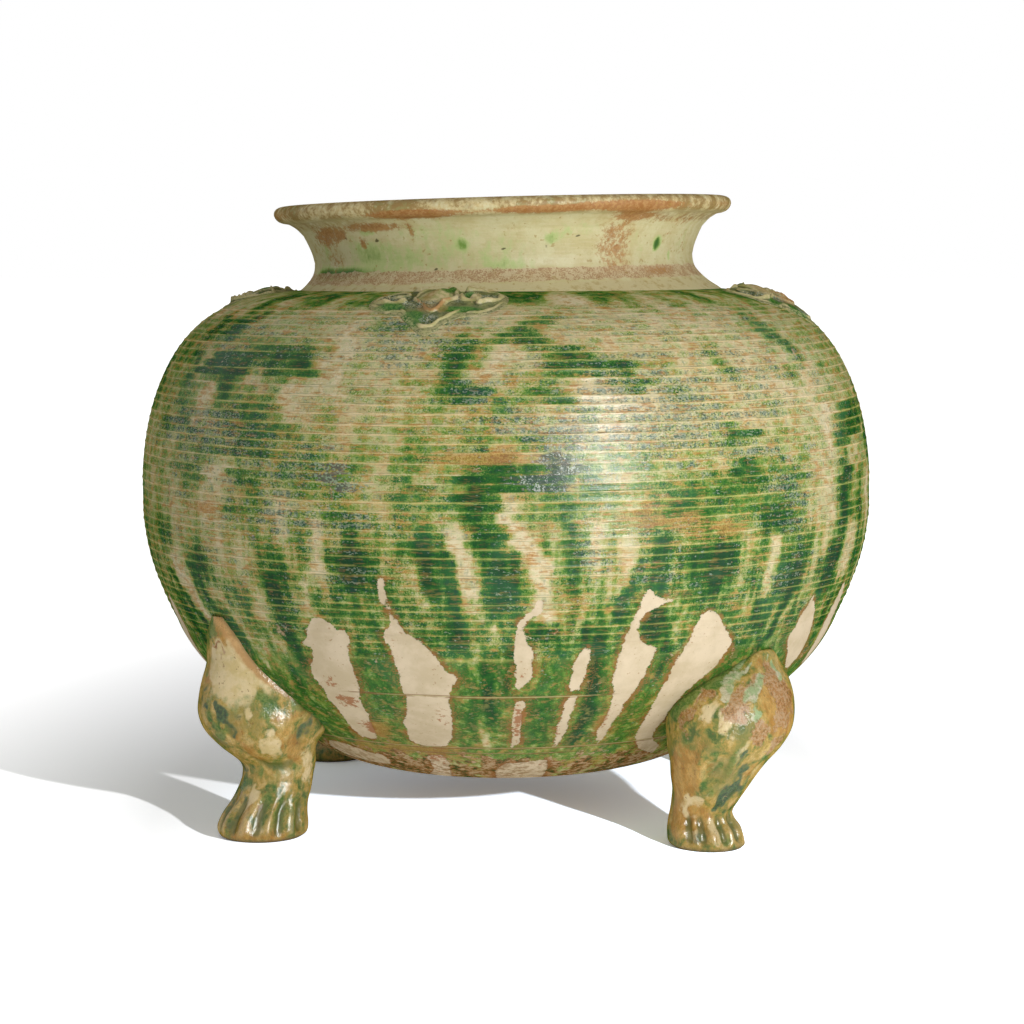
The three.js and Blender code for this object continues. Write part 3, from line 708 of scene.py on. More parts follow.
class Wall:
    """The belly's outside: rows from the base to the seat of the neck, with the comb's ridges.

    Each row has its way up the wall, how high a ridge rises there, its groove's number and its level."""

    def __init__(self):
        curve = smooth_curve(BELLY_PROFILE, WALL_POINTS)
        self.radii, self.heights = curve.T
        self.way = np.concatenate([[0], np.cumsum(np.linalg.norm(np.diff(curve, axis=0), axis=1))])
        self.comb_start, self.comb_end = self.way_at(COMB_LOW), self.way_at(COMB_HIGH)
        self.grooves = round((self.comb_end - self.comb_start) / COMB_PITCH)
        rng = np.random.default_rng(3)
        self.lay_rows(rng)
        self.vary_ridges(rng)

    def lay_rows(self, rng):
        low, high = self.comb_start, self.comb_end
        pitches = 1 + PITCH_SPREAD * rng.standard_normal(self.grooves)
        crests = low + (high - low) * np.concatenate([[0], np.cumsum(pitches)]) / pitches.sum()
        plain = np.linspace(0, low, PLAIN_ROWS)[:-1]
        cuts = np.add.outer([self.way_at(line[0]) for line in INCISED_LINES], LINE_ROWS).ravel()
        clear = np.min(np.abs(plain[:, None] - cuts), axis=1) > 0.7
        rows = []
        for way in np.sort(np.concatenate([plain[clear], cuts])):
            rows.append((way, 0, (way - low) / COMB_PITCH, self.height_at(way)))
        for groove, (crest, following) in enumerate(zip(crests, crests[1:])):
            middle = self.height_at((crest + following) / 2)
            for share, rise in GROOVE_ROWS:
                band, level = (groove + 0.5, middle) if share else (groove, self.height_at(crest))
                rows.append((crest + share * (following - crest), rise, band, level))
        for way in np.linspace(high, self.way[-1], SHOULDER_ROWS):
            rows.append((way, 0, self.grooves + (way - high) / COMB_PITCH, self.height_at(way)))
        self.row_way, self.rise, self.band, self.level = (np.array(column)[:, None] for column in zip(*rows))
        self.combed = soft_span(self.row_way, low - 0.5, high + 0.5, 1)

    def vary_ridges(self, rng):
        """Each ridge wanders a little along the wall and fades in places, and the glaze's layout slips."""
        turn = np.radians(AZIMUTHS)
        count = self.grooves
        drift = np.cumsum(rng.standard_normal((count + 2, WANDER_WAVES)) * 0.5, axis=0)
        fade = np.cumsum(rng.standard_normal((count + 2, FADE_WAVES)) * 1.6, axis=0)
        ridge = np.clip(np.round(self.band[:, 0]), 0, count + 1).astype(int)
        self.wander = np.zeros((len(ridge), len(turn)))
        for wave in range(WANDER_WAVES):
            self.wander += RIDGE_WANDER / (wave + 1) * np.cos((wave + 1) * turn + drift[ridge, wave][:, None])
        uneven = np.zeros_like(self.wander)
        for wave in range(FADE_WAVES):
            uneven += np.cos((2 * wave + 1) * turn + fade[ridge, wave][:, None]) / 3
        own = rng.uniform(0.25, 1.1, count + 2)[ridge][:, None]
        self.strength = np.clip(own + 0.3 * uneven, 0.15, 1)
        groove = np.floor(self.band[:, 0]).clip(-1, count).astype(int)
        slip = rng.standard_normal(count + 2) * LAYOUT_SLIP
        self.slip = (slip[groove] * self.combed[:, 0])[:, None] * smoothstep(104, 134, self.level)

    def way_at(self, height):
        return float(np.interp(height, self.heights, self.way))

    def height_at(self, way):
        return float(np.interp(way, self.way, self.heights))

    def radius_at_height(self, height):
        return np.interp(height, self.heights, self.radii)

    def real_height(self):
        return np.interp(np.clip(self.row_way, 0, self.way[-1]), self.way, self.heights)

    def places(self):
        way = np.clip(self.row_way + self.wander * self.combed, 0, self.way[-1])
        radius = np.interp(way, self.way, self.radii)
        height = np.interp(way, self.way, self.heights)
        outward = np.interp(way, self.way, np.gradient(self.heights, self.way))
        upward = -np.interp(way, self.way, np.gradient(self.radii, self.way))
        sunk = COMB_DEPTH * self.combed * (1 - self.rise * self.strength) + LINE_DEPTH * self.line_field()
        return around(radius - outward * sunk, height - upward * sunk)

    def ridge_field(self):
        return self.rise * self.strength * self.combed

    def pool_field(self):
        """1 where the glaze lies deep in a groove or on the plain wall, 0 on a ridge."""
        return 1 - self.rise * self.combed

    def line_field(self):
        azimuth = layout_azimuth(AZIMUTHS)[None, :]
        total = np.zeros((len(self.row_way), len(AZIMUTHS)))
        for height, left, right, strength in INCISED_LINES:
            away = self.row_way - self.way_at(height)
            total += strength * soft_span(azimuth, left, right, 6) * np.exp(-((away / LINE_WIDTH) ** 2))
        return total

    def laid_out(self, layout):
        """Calls a function with the layout's azimuth and the height, level in each groove, both swaying."""
        runny = 1 - smoothstep(108, 138, self.level)
        level = self.level + (self.real_height() - self.level) * runny + np.zeros((1, len(AZIMUTHS)))
        azimuth = layout_azimuth(AZIMUTHS)[None, :] + self.slip + 0 * level
        calm = 1 - 0.7 * runny
        across, up = azimuth / SWAY_WIDTH, level / SWAY_RISE
        swayed = azimuth + calm * SWAY_TURN * soft_noise(across, up, 11)
        return layout(swayed, level + calm * SWAY_LIFT * soft_noise(across, up, 12))

    def patches(self, rows):
        return self.laid_out(lambda azimuth, height: ellipses(azimuth, height, rows))

    def flat(self, azimuth, height):
        """Millimetres across and up the wall."""
        return np.radians(azimuth) * self.radius_at_height(height), np.interp(height, self.heights, self.way)

    def bare_field(self):
        """How deep each point lies in a bare patch, outside the drops of green."""
        across, up = self.flat(layout_azimuth(AZIMUTHS)[None, :], self.real_height())
        up = up + 0 * across
        deepest = np.full(across.shape, -float(DEPTH_LIMIT))
        for outline in BARE_PATCHES:
            edge = np.column_stack(self.flat(*np.array(outline).T))
            near = (up[:, 0] > edge[:, 1].min() - DEPTH_LIMIT) & (up[:, 0] < edge[:, 1].max() + DEPTH_LIMIT)
            deepest[near] = np.maximum(deepest[near], patch_depth(across[near], up[near], edge))
        for middle, level, radius in GREEN_DROPS:
            drop_across, drop_up = self.flat(np.array(middle), np.array(level))
            outside = np.hypot(across - drop_across, up - drop_up) - radius
            deepest = np.where(outside < radius, np.minimum(deepest, outside), deepest)
        return np.clip(deepest, -DEPTH_LIMIT, DEPTH_LIMIT)


wall = Wall()


def green_layout(azimuth, height):
    """How much green the glaze holds, from 0 for cream to 1 for the darkest."""
    green = np.interp(height, *BASE_GREEN) + ellipses(azimuth, height, WASHES)
    for left, right, low, high, amount in BLOCKS:
        blur = BLOCK_BLUR_HIGH if low > HIGH_BLOCKS else BLOCK_BLUR_LOW
        around_it = soft_span(azimuth, left, right, BLOCK_BLUR_AROUND)
        green = green + BLOCK_GAIN * amount * around_it * soft_span(height, low, high, blur)
    for top_azimuth, top, low_azimuth, low, half, amount in RUNS:
        along = np.clip((height - low) / (top - low), 0, 1)
        middle = low_azimuth + (top_azimuth - low_azimuth) * along
        across = np.exp(-((np.abs(azimuth - middle) / half) ** 2.6))
        green = green + RUN_GAIN * amount * across * soft_span(height, low, top, 2.5)
    return np.clip(green, -0.1, 1.2) + ellipses(azimuth, height, SHOULDER_STROKES)


def build_body(material):
    outer = wall.places()
    inner_curve = smooth_curve(CAVITY_PROFILE, CAVITY_ROWS)
    inner = around(inner_curve[:, :1], inner_curve[:, 1:])
    rings = lean_vessel(np.concatenate([outer, inner]))
    ends = lean_vessel(np.array([[0, 0, BASE_HEIGHT], [0, 0, FLOOR_HEIGHT]], float))
    azimuth = layout_azimuth(AZIMUTHS)
    tongues = sum(amount * np.exp(-(((azimuth - middle) / half) ** 2)) for middle, half, amount in TONGUES)
    # Each field's values on the outside, and its one value inside
    both = {
        "green": (wall.laid_out(green_layout), 0.25),
        "bare": (wall.bare_field(), -DEPTH_LIMIT),
        "ridge": (wall.ridge_field(), 0),
        "pool": (wall.pool_field(), 1),
        "line": (wall.line_field(), 0),
        "band": (wall.band, 0),
        "combed": (wall.combed, 0),
        "stain": (wall.patches(STAINS), 0.2),
        "speckle": ((0.12 + wall.patches(SPECKLES)) * wall.combed, 0),
        "blue": (wall.patches(BLUE_PATCH_AND_SHEEN), 0),
        "dark": (wall.patches(DARK_STAIN), 0),
        "runny": (1 - smoothstep(100, 136, wall.level), 0),
        "inside": (0, 1),
        "low": ((1 - smoothstep(24, 38, wall.level)) * (1 - 0.55 * tongues), 0),
    }
    fields = {}
    for name, (outside, inside) in both.items():
        spread = np.broadcast_to(outside, outer.shape[:2])
        fields[name] = np.concatenate([spread, np.full(inner.shape[:2], float(inside))])
    return make_piece("jar_body_glazed", rings, ends, material, "jar_body", fields)


def pour_green(g):
    """Green over cream after the layout: in dashes along the grooves and runs below, thin on the ridges."""
    runny = g.field("runny")
    run_or_rows = g.blend(runny, g.blend(g.combed, g.coarse, g.in_groove), g.run)
    grainy = g.add(0.2, g.times(g.combed, 0.3), g.times(g.field("speckle"), 0.5))
    uneven = g.add(0.5, g.step(g.other_groove, 0.38, 0.6), g.times(g.step(g.coarse, 0.4, 0.6), 0.7))
    g.thin = g.times(g.combed, g.off(g.pool))
    streaky = g.times(g.sway(run_or_rows, 1), g.add(1.05, g.times(runny, 0.2)))
    spotty = g.times(g.sway(g.speckled, 1), g.times(grainy, uneven))
    g.green = g.add(
        g.field("green"), streaky, g.sway(g.coarse, 0.4), g.sway(g.fine, 0.5), spotty, g.times(g.thin, -0.22))
    g.color = g.ramp(g.green, GREEN_RAMP)
    g.deep = g.step(g.green, 0.48, 0.66)
    pale = g.off(g.deep)
    g.coat(SEA_GREEN, g.step(g.noise(g.here, 20, 2), 0.54, 0.66), g.deep, 0.3)
    g.coat(OCHRE, g.step(g.tint, 0.5, 0.64), pale, 0.6)
    g.coat(SAGE, g.step(g.tint, 0.47, 0.34), pale, 0.5)
    rows = g.times(g.combed, pale)
    g.coat(OLIVE_ROW, rows, g.step(g.other_groove, 0.5, 0.62), 0.5)
    g.coat(HONEY_ROW, rows, g.step(g.in_groove, 0.46, 0.36), 0.4)


def break_down(g):
    """The glaze in the grooves has broken down to blue-black dashes and pale grains."""
    weathered = g.add(
        g.field("speckle"), g.sway(g.other_groove, 1.6), g.sway(g.coarse, 0.8), g.times(g.thin, -0.4))
    broken = g.step(weathered, 0.1, 0.7)
    dashed = g.step(g.add(g.dash, g.sway(g.fine, 0.5), g.times(broken, 0.1)), 0.56, 0.64)
    dashes = g.times(g.combed, g.step(g.pool, 0.5, 0.95), dashed)
    g.coat(g.mix(g.deep, GREY_TEAL, INK_SPECK), dashes, g.add(0.38, g.times(broken, 0.45)))
    rarest = g.off(g.times(g.combed, broken, 0.36))
    g.pale_grain = g.step(g.math("SUBTRACT", g.grain, rarest), -0.04, 0.04)
    g.coat(INK_SPECK, g.step(g.math("SUBTRACT", g.other_grain, rarest), -0.04, 0.04), 0.5)
    speck = g.mix(g.add(g.times(g.deep, 0.6), g.times(g.rare, 0.4)), WHITE_SPECK, GREY_SPECK)
    g.coat(speck, g.pale_grain, 0.38)


def draw_ridges(g):
    """Thin pale lines, which come and go, with a thin dark line under each and rusty streaks along them."""
    shows = g.step(g.add(g.along, g.sway(g.fine, 0.5), g.times(g.field("speckle"), -0.1)), 0.38, 0.52)
    crest = g.times(g.step(g.field("ridge"), 0.34, 0.68), shows)
    g.coat(g.ramp(g.green, RIDGE_RAMP), crest, g.add(0.85, g.times(g.field("runny"), -0.35)))
    beside = g.step(g.math("ABSOLUTE", g.math("SUBTRACT", g.pool, 0.45)), 0.34, 0.1)
    g.coat(RIDGE_SHADE, g.times(g.combed, beside), g.step(g.along, 0.56, 0.44), 0.4)
    rusty = g.times(g.step(g.streak, 0.51, 0.6), g.step(g.tint, 0.42, 0.54), g.off(g.times(g.deep, 0.6)))
    g.coat(g.mottle(g.fine, 0.4, 0.6, OCHRE, RUST), g.combed, rusty, 0.65)


def stain_belly(g):
    """Brown and purple-grey stains, and the dark blue patch, with its iridescent sheen and highlights painted
    in pale streaks.
    """
    g.stain = g.edge(g.field("stain"), 0.4, 0.8, (g.streak, 1.6), (g.coarse, 0.8), (g.fine, 0.8))
    g.coat(g.mottle(g.speckled, 0.4, 0.62, OCHRE, RUST), g.stain, 0.65)
    dark = g.edge(g.field("dark"), 0.4, 0.7, (g.coarse, 1.2), (g.fine, 1.3), (g.grain, 0.8))
    g.coat(g.mottle(g.grain, 0.7, 0.8, PURPLE_GREY, GREY_SPECK), dark, 0.8)
    blue = g.edge(g.field("blue"), 0.35, 0.85, (g.coarse, 1.5), (g.fine, 1.2), (g.streak, 1.4))
    g.coat(DARK_BLUE, blue, g.edge(g.fine, 0.64, 0.5, (g.coarse, 1)), 0.88)
    # Pale streaks in the blue patch: painted iridescent sheen and highlights
    g.coat(PAINTED_IRIDESCENT_SHEEN, blue, g.edge(g.dash, 0.57, 0.63, (g.speckled, 0.9)), 0.8)


def tint_plain_wall(g):
    """Below the comb the green thins to ochre, with rust beside the bare patches and a brown foot."""
    plain = g.off(g.combed)
    beside = g.edge(g.field("bare"), -5.5, 0, (g.coarse, 9), (g.fine, 5))
    g.coat(RUST, beside, plain, g.step(g.speckled, 0.48, 0.6), 0.8)
    g.coat(TAWNY, plain, g.edge(g.tint, 0.55, 0.65, (g.fine, 0.6)), 0.6)
    g.coat(MOSS, g.edge(g.run, 0.53, 0.68, (g.fine, 0.5)), plain, 0.4)
    foot = g.edge(g.low, 0.4, 0.62, (g.coarse, 1.8), (g.run, 1.6), (g.fine, 0.8))
    browns = g.ramp(g.add(g.dribble, g.sway(g.fine, 0.7), g.sway(g.coarse, 0.5)), STAIN_RAMP)
    g.coat(browns, foot, 0.92)


def bare_clay(g):
    """Bare clay, with a ragged edge and flecks of rust along it."""
    ragged = g.noise(g.here, 2.4, 5, 0.75)
    rim = g.add(g.field("bare"), g.sway(ragged, 3.2), g.sway(g.grain, 0.35))
    g.bare = g.step(rim, -0.12, 0.12)
    near = g.times(g.edge(rim, -2, -0.1, (g.coarse, 4)), g.off(g.bare))
    g.coat(RUST_RIM, near, g.edge(g.coarse, 0.44, 0.58, (g.fine, 0.9)), 0.8)
    glazed = g.color
    g.color = g.mottle(g.noise(g.here, 12, 5, 0.65), 0.36, 0.66, BARE_CLAY, CLAY_SHADE)
    g.coat(CLAY_BROWN, g.low, g.step(g.dribble, 0.56, 0.4), 0.9)
    flecks = g.add(g.field("stain"), g.sway(ragged, 2.4), g.sway(g.fine, 2.2), g.times(g.low, 0.25))
    g.coat(CLAY_FLECK, g.step(flecks, 0.7, 0.86), 0.85)
    g.coat(CLAY_SPOT, g.step(g.noise(g.here, 1.1, 1), 0.7, 0.75), 0.5)
    g.coat(CLAY_GRAIN, g.step(g.speckled, 0.6, 0.68), 0.14)
    g.color = g.mix(g.bare, glazed, g.color)


def draw_cuts(g):
    """A dark and a pale line run along each incised mark."""
    line = g.field("line")
    cut = g.edge(line, 0.3, 0.6, (g.fine, 0.5))
    g.coat(CUT_PALE, cut, 0.75)
    g.coat(CUT_DARK, g.step(line, 0.02, 0.22), g.off(cut), g.step(g.streak, 0.36, 0.5), 0.85)


def splashed_glaze():
    """Green splashed over cream, combed, weathered and stained, with patches of bare clay."""
    g = Glaze("splashed_green_glaze")
    g.combed = g.field("combed")
    g.pool = g.field("pool")
    g.low = g.field("low")
    g.in_groove = g.groove_noise((0, 0, 0), 9, 0.42, 5, 0.62)
    g.other_groove = g.groove_noise((0.3, 0.1, 0), 16, 0.7, 4, 0.62)
    g.along = g.groove_noise((0.1, 0.4, 0), 7, 2.3, 4, 0.6)
    g.dash = g.groove_noise((0.2, 0.6, 0), 1.7, 1.9, 4, 0.7)
    g.run = g.noise(g.stretch((1, 1, 0.13)), 4, 4, 0.6)
    g.coarse = g.noise(g.here, 8, 5, 0.65)
    g.fine = g.noise(g.stretch((0.5, 0.5, 1.3)), 1.1, 4, 0.7)
    g.streak = g.noise(g.stretch((0.14, 0.14, 1.5)), 1, 3, 0.6)
    g.speckled = g.noise(g.here, 0.62, 2, 0.8)
    g.tint = g.noise(g.stretch((1, 1, 1.6)), 4, 5, 0.68)
    g.dribble = g.noise(g.stretch((1, 1, 0.5)), 3, 5, 0.7)
    g.grain, g.other_grain, g.rare = g.grains(g.stretch((0.55, 0.55, 1)), 0.42)
    pour_green(g)
    break_down(g)
    draw_ridges(g)
    stain_belly(g)
    tint_plain_wall(g)
    bare_clay(g)
    draw_cuts(g)
    g.coat(g.mottle(g.tint, 0.35, 0.7, INSIDE_STRAW, INSIDE_BROWN), g.field("inside"))
    glossy = g.add(0.22, g.sway(g.fine, 0.25), g.times(g.pale_grain, 0.15), g.times(g.stain, 0.15))
    roughness = g.blend(g.bare, glossy, 0.62)
    height = g.add(
        g.times(g.fine, 0.35), g.times(g.speckled, g.combed, 0.35), g.times(g.coarse, 0.7),
        g.times(g.streak, 0.4, g.combed), g.times(g.bare, -0.5),
    )
    return g.finish(roughness, height, 0.22)


# Stains, tints and dark specks on the neck: azimuth, height, half of each, and how strong
NECK_BROWN = [
    (-22, 219.4, 12, 1.5, 1.3), (7.5, 219.8, 10, 1.2, 1.2), (33, 220.6, 16, 1.7, 1.3),
    (33, 207, 6.5, 10, 0.7), (37, 217.2, 7, 1.6, 0.7), (-25, 213, 0.9, 3.4, 0.9), (-43, 210, 1.8, 2.6, 0.7),
    (-51, 212.6, 2.4, 1.6, 0.5), (-17.5, 204.4, 1.2, 2.6, 0.35), (54, 211.3, 1.8, 1.4, 0.6),
    (55, 216, 12, 2, 0.5), (-60, 213, 8, 3, 0.5), (-45, 215.6, 14, 2, 0.5), (-56, 206, 6, 9, 0.32),
    (-36, 209, 5, 6, 0.22), (50, 198, 9, 2, 0.6), (-2, 214.5, 10, 2, 0.25), (-75, 221, 10, 2, 0.6),
    (70, 221, 10, 2, 0.5), (-66, 206, 8, 8, 0.35), (-34, 215.4, 10, 1.4, 0.45), (64, 206, 7, 8, 0.35),
]
NECK_GREEN = [
    (-58, 199.4, 15, 2, 0.8), (-30, 204, 14, 5, 0.2), (-48, 204, 10, 7, 0.1), (-2, 205, 8, 5, 0.12),
    (-11.4, 208.8, 2, 2, 0.45), (13.2, 209.8, 1.8, 1.8, 0.4), (49.7, 207.3, 1.2, 2.2, 1.1),
    (-43, 207, 5, 4, 0.2), (-40, 213.8, 3, 1.2, 0.35), (3, 201, 7, 2, 0.2), (46, 206, 8, 8, 0.15),
    (20, 213, 8, 3, 0.15), (-20, 213.5, 10, 3, 0.15), (64, 207, 5, 8, 0.2), (-66, 207, 6, 8, 0.25),
    (57, 203, 1, 2, 0.5), (-15, 207, 38, 10, 0.14),
]
NECK_SPECKS = [
    (-49, 211.8, 0.8, 0.7, 1), (-37.5, 210.8, 0.8, 0.7, 1), (0, 206.8, 0.5, 0.5, 1),
    (-19.5, 200.5, 0.5, 0.5, 1), (7, 207.4, 0.5, 0.4, 1), (21, 210.6, 0.5, 0.5, 1),
    (11.5, 207.2, 0.8, 1, 0.8), (44, 208, 0.5, 0.5, 1), (-31, 198.8, 0.5, 0.5, 1), (-53, 199.6, 0.5, 0.5, 1),
]
# Lines turned round it: height, depth and half width
NECK_LINES = [(213.7, 0.22, 0.45), (203.6, 0.12, 0.5), (218, 0.3, 0.4)]
# Rows of points up its outside, over the lip and down its inside, and columns round it
NECK_ROWS = [52, 22, 30]
NECK_COLUMNS = 240

NECK_STRAW = (0.63, 0.59, 0.35)
NECK_HONEY = (0.56, 0.49, 0.25)
NECK_CREAM = (0.66, 0.58, 0.36)
NECK_TAN = (0.44, 0.36, 0.15)
NECK_GREEN_RAMP = [
    (0.0, (0.58, 0.59, 0.31)), (0.35, (0.46, 0.54, 0.22)),
    (0.7, (0.17, 0.30, 0.06)), (1.0, (0.05, 0.14, 0.03)),
]
LIP_AMBER = (0.54, 0.41, 0.18)
LIP_BROWN = (0.27, 0.16, 0.045)
LIP_OLIVE = (0.28, 0.30, 0.10)
LIP_CREAM = (0.62, 0.54, 0.34)
BAND_BROWN = (0.36, 0.18, 0.085)
BAND_PINK = (0.56, 0.40, 0.24)
BAND_CREAM = (0.66, 0.55, 0.35)
HEM_STRAW = (0.60, 0.53, 0.31)
HEM_TAN = (0.46, 0.36, 0.17)
NECK_RUST = (0.44, 0.23, 0.08)
NECK_SPECK = (0.07, 0.06, 0.02)
NECK_SPOT = (0.35, 0.22, 0.05)
NECK_SHADE = (0.30, 0.17, 0.06)
NECK_GRAIN = (0.30, 0.24, 0.10)


def build_neck(material):
    profiles = zip((NECK_OUTSIDE, NECK_LIP, NECK_INSIDE), NECK_ROWS)
    outside, lip, inside = (smooth_curve(profile, rows) for profile, rows in profiles)
    curve = np.vstack([outside, lip[1:], inside[1:]])
    radius, height = curve[:, :1].copy(), curve[:, 1:]
    for line, depth, width in NECK_LINES:
        radius[:len(outside)] -= depth * np.exp(-(((outside[:, 1:] - line) / width) ** 2))
    azimuths = np.linspace(-180, 180, NECK_COLUMNS, endpoint=False)
    turn = np.radians(azimuths)
    # Between its foot and its lip it is thrown a little unevenly
    uneven = 0.18 * np.cos(3 * turn + 1) + 0.12 * np.cos(5 * turn)
    free = smoothstep(194, 199, height) * (1 - smoothstep(214, 220, height))
    rings = around(radius - (0.3 + uneven) * 0.5 * free, height, azimuths)
    rings = np.concatenate([rings, rings[:1]])
    rings = lean_vessel(lean(rings, NECK_LEAN, SEAT_HEIGHT))
    layout = layout_azimuth(azimuths)[None, :]
    rows = np.vstack([height, height[:1]])
    inner = np.zeros_like(rows)
    inner[len(outside) + len(lip) - 4:-1] = 1
    outer = 1 - inner
    fields = {
        "brown": ellipses(layout, rows, NECK_BROWN) * (1 - 0.6 * inner),
        "green": ellipses(layout, rows, NECK_GREEN),
        "speck": ellipses(layout, rows, NECK_SPECKS) * outer,
        "foot": soft_span(rows, 195.4, 200, 1) * outer,
        "hem": (1 - smoothstep(193.6, 195.8, rows)) * outer,
        "under_lip": soft_span(rows, 215.6, 218.2, 0.7) * outer * smoothstep(18, 60, np.abs(layout + 2)),
        "lip": smoothstep(217.6, 219.6, rows) * (1 - 0.4 * inner),
    }
    return make_piece("neck_glazed", rings, None, material, "neck", fields)


def neck_glaze():
    """Pale straw glaze with a breath of green, rust along the lip and a pink-brown band at its foot."""
    g = Glaze("cream_glaze")
    g.coarse = g.noise(g.here, 8, 5, 0.62)
    g.patchy = g.noise(g.shift((0.2, 0.1, 0.3)), 3.6, 5, 0.68)
    g.fine = g.noise(g.here, 1.4, 4, 0.65)
    g.speckled = g.noise(g.here, 0.55, 2, 0.8)
    g.drip = g.noise(g.stretch((1, 1, 0.2)), 3, 4, 0.6)
    g.turned = g.noise(g.stretch((0.12, 0.12, 1.6)), 1.2, 3, 0.6)
    g.color = g.mottle(g.coarse, 0.36, 0.62, NECK_STRAW, NECK_HONEY)
    g.coat(NECK_CREAM, g.step(g.turned, 0.4, 0.68), 0.4)
    g.coat(NECK_TAN, g.step(g.patchy, 0.52, 0.68), 0.35)
    green = g.edge(g.field("green"), 0, 1, (g.coarse, 0.4), (g.drip, 0.5), (g.fine, 0.3))
    g.coat(g.ramp(green, NECK_GREEN_RAMP), g.step(green, 0.02, 0.3))
    colour_lip(g)
    colour_neck_foot(g)
    stain_neck(g)
    roughness = g.add(0.46, g.sway(g.fine, 0.25), g.times(g.foot, 0.2), g.times(g.brown, 0.15))
    height = g.add(
        g.times(g.coarse, 0.9), g.times(g.fine, 0.35), g.times(g.turned, 0.5),
        g.times(g.sway(g.speckled, 1), g.foot, 0.9), g.times(g.brown, -0.2),
    )
    return g.finish(roughness, height, 0.25)


def colour_lip(g):
    """The lip is amber and brown, with patches of olive and cream."""
    ground = g.color
    g.color = g.mix(g.edge(g.coarse, 0.38, 0.58, (g.fine, 0.5)), LIP_AMBER, LIP_BROWN)
    g.coat(LIP_OLIVE, g.edge(g.coarse, 0.56, 0.7, (g.patchy, 1)), 0.6)
    g.coat(LIP_CREAM, g.step(g.patchy, 0.54, 0.66), 0.5)
    covered = g.times(g.field("lip"), g.edge(g.fine, 0.15, 0.55, (g.coarse, 0.8)), 0.88)
    g.color = g.mix(covered, ground, g.color)


def colour_neck_foot(g):
    """A broken pink-brown band, and a straw hem below it."""
    g.foot = g.edge(g.field("foot"), 0.5, 0.72, (g.coarse, 1.7), (g.patchy, 1.5), (g.fine, 1))
    pink = g.mottle(g.speckled, 0.42, 0.58, BAND_BROWN, BAND_PINK)
    pink = g.mix(g.times(g.edge(g.patchy, 0.47, 0.57, (g.speckled, 0.6)), 0.8), pink, BAND_CREAM)
    g.coat(pink, g.foot, 0.8)
    hem = g.edge(g.field("hem"), 0.3, 0.7, (g.coarse, 0.7), (g.fine, 0.4))
    g.coat(g.mottle(g.patchy, 0.5, 0.64, HEM_STRAW, HEM_TAN), hem, 0.8)


def stain_neck(g):
    """Rust stains, specks, spots, a shade under the lip and fine grain."""
    g.brown = g.edge(g.field("brown"), 0.36, 0.8, (g.fine, 1.3), (g.patchy, 1.2), (g.speckled, 0.6))
    g.coat(g.mottle(g.fine, 0.42, 0.6, RUST, NECK_RUST), g.brown, 0.88)
    g.coat(NECK_SPECK, g.edge(g.field("speck"), 0.45, 0.7, (g.fine, 0.5)), 0.85)
    g.coat(NECK_SPOT, g.step(g.noise(g.here, 1.8, 2), 0.66, 0.72), 0.55)
    g.coat(NECK_SHADE, g.field("under_lip"), g.edge(g.patchy, 0.36, 0.6, (g.drip, 0.6)), 0.6)
    g.coat(NECK_GRAIN, g.sway(g.speckled, 1), 0.5)


# Rings of the two foot moulds, as in the CAD: height, reach from the axis, sway sideways, half depth and
# half width
TALL_FOOT = [
    (0, 108.2, 0, 14.4, 13.7), (1.4, 108.2, 0, 15.9, 15.1), (4, 108.1, 0, 16.2, 15.4),
    (8, 107.2, 0, 15.2, 14.4), (12, 105.4, 0, 13.9, 13.2), (16, 103.4, 0, 13.3, 12.7),
    (21, 101.8, 0, 12.8, 12.1), (26, 101.6, -0.2, 13.6, 12.9), (32, 105.2, -1, 17, 16.2),
    (38, 106.6, -1.8, 21.1, 19.6), (44, 106.6, -2.5, 23.1, 21), (50, 105.6, -2.9, 23.5, 20.9),
    (56, 105.8, -2.6, 22.3, 19.5), (62, 107.9, -2, 18.8, 16.6), (68, 113, -0.8, 13.6, 13),
    (74, 119.3, 0.6, 7.7, 8.4), (80, 123.6, 2, 3.4, 3.2),
]
SLANTED_FOOT = [
    (0, 107.8, 0, 12.6, 12), (1.4, 107.4, 0, 13.8, 13.1), (3.5, 106.6, 0, 13.6, 12.9),
    (6, 106, 0, 13.1, 12.6), (9, 104.8, 0, 11.9, 11.4), (12.5, 104.9, 0, 11.2, 10.9),
    (16, 106.1, 0.4, 11.9, 11.6), (20, 107.7, 0.8, 13, 12.8), (25, 109.1, 1.3, 14.8, 14.8),
    (30, 110.9, 1.8, 16.6, 16.8), (36, 113, 2.7, 19.2, 20.3), (42, 114.8, 3.7, 20, 22.4),
    (48, 115.5, 4.7, 19.3, 22.6), (54, 115.3, 6.5, 17.6, 21), (60, 115.8, 9.3, 13.6, 16.2),
    (65, 117, 11.8, 7.6, 9.2), (69, 118, 13.6, 3, 3.6),
]

# Soft pushes on a foot: angle from its front, height, half of each, and how far out or in
TALL_PUSHES = [
    (62, 35, 17, 5.5, 1.3), (82, 41.5, 14, 5, 1), (33, 41, 12, 4.5, -0.9), (100, 36, 10, 6, -0.8),
    (8, 50, 22, 8, 0.5), (60, 26.5, 30, 3, -0.7), (-10, 40, 12, 6, -0.5), (125, 30, 16, 9, 0.5),
]
SLANTED_PUSHES = [
    (-100, 24, 18, 12, 0.8), (-8, 34, 14, 8, -0.6), (18, 44, 20, 9, 0.5), (-78, 40, 12, 9, -0.7),
    (-30, 51, 18, 6, 0.5),
]
# The slanted foot's raised oval: angle, height, half of each
OVAL = (-49, 30.5, 23, 11.5)
OVAL_RIM = 0.95
OVAL_HOLLOW = 0.9

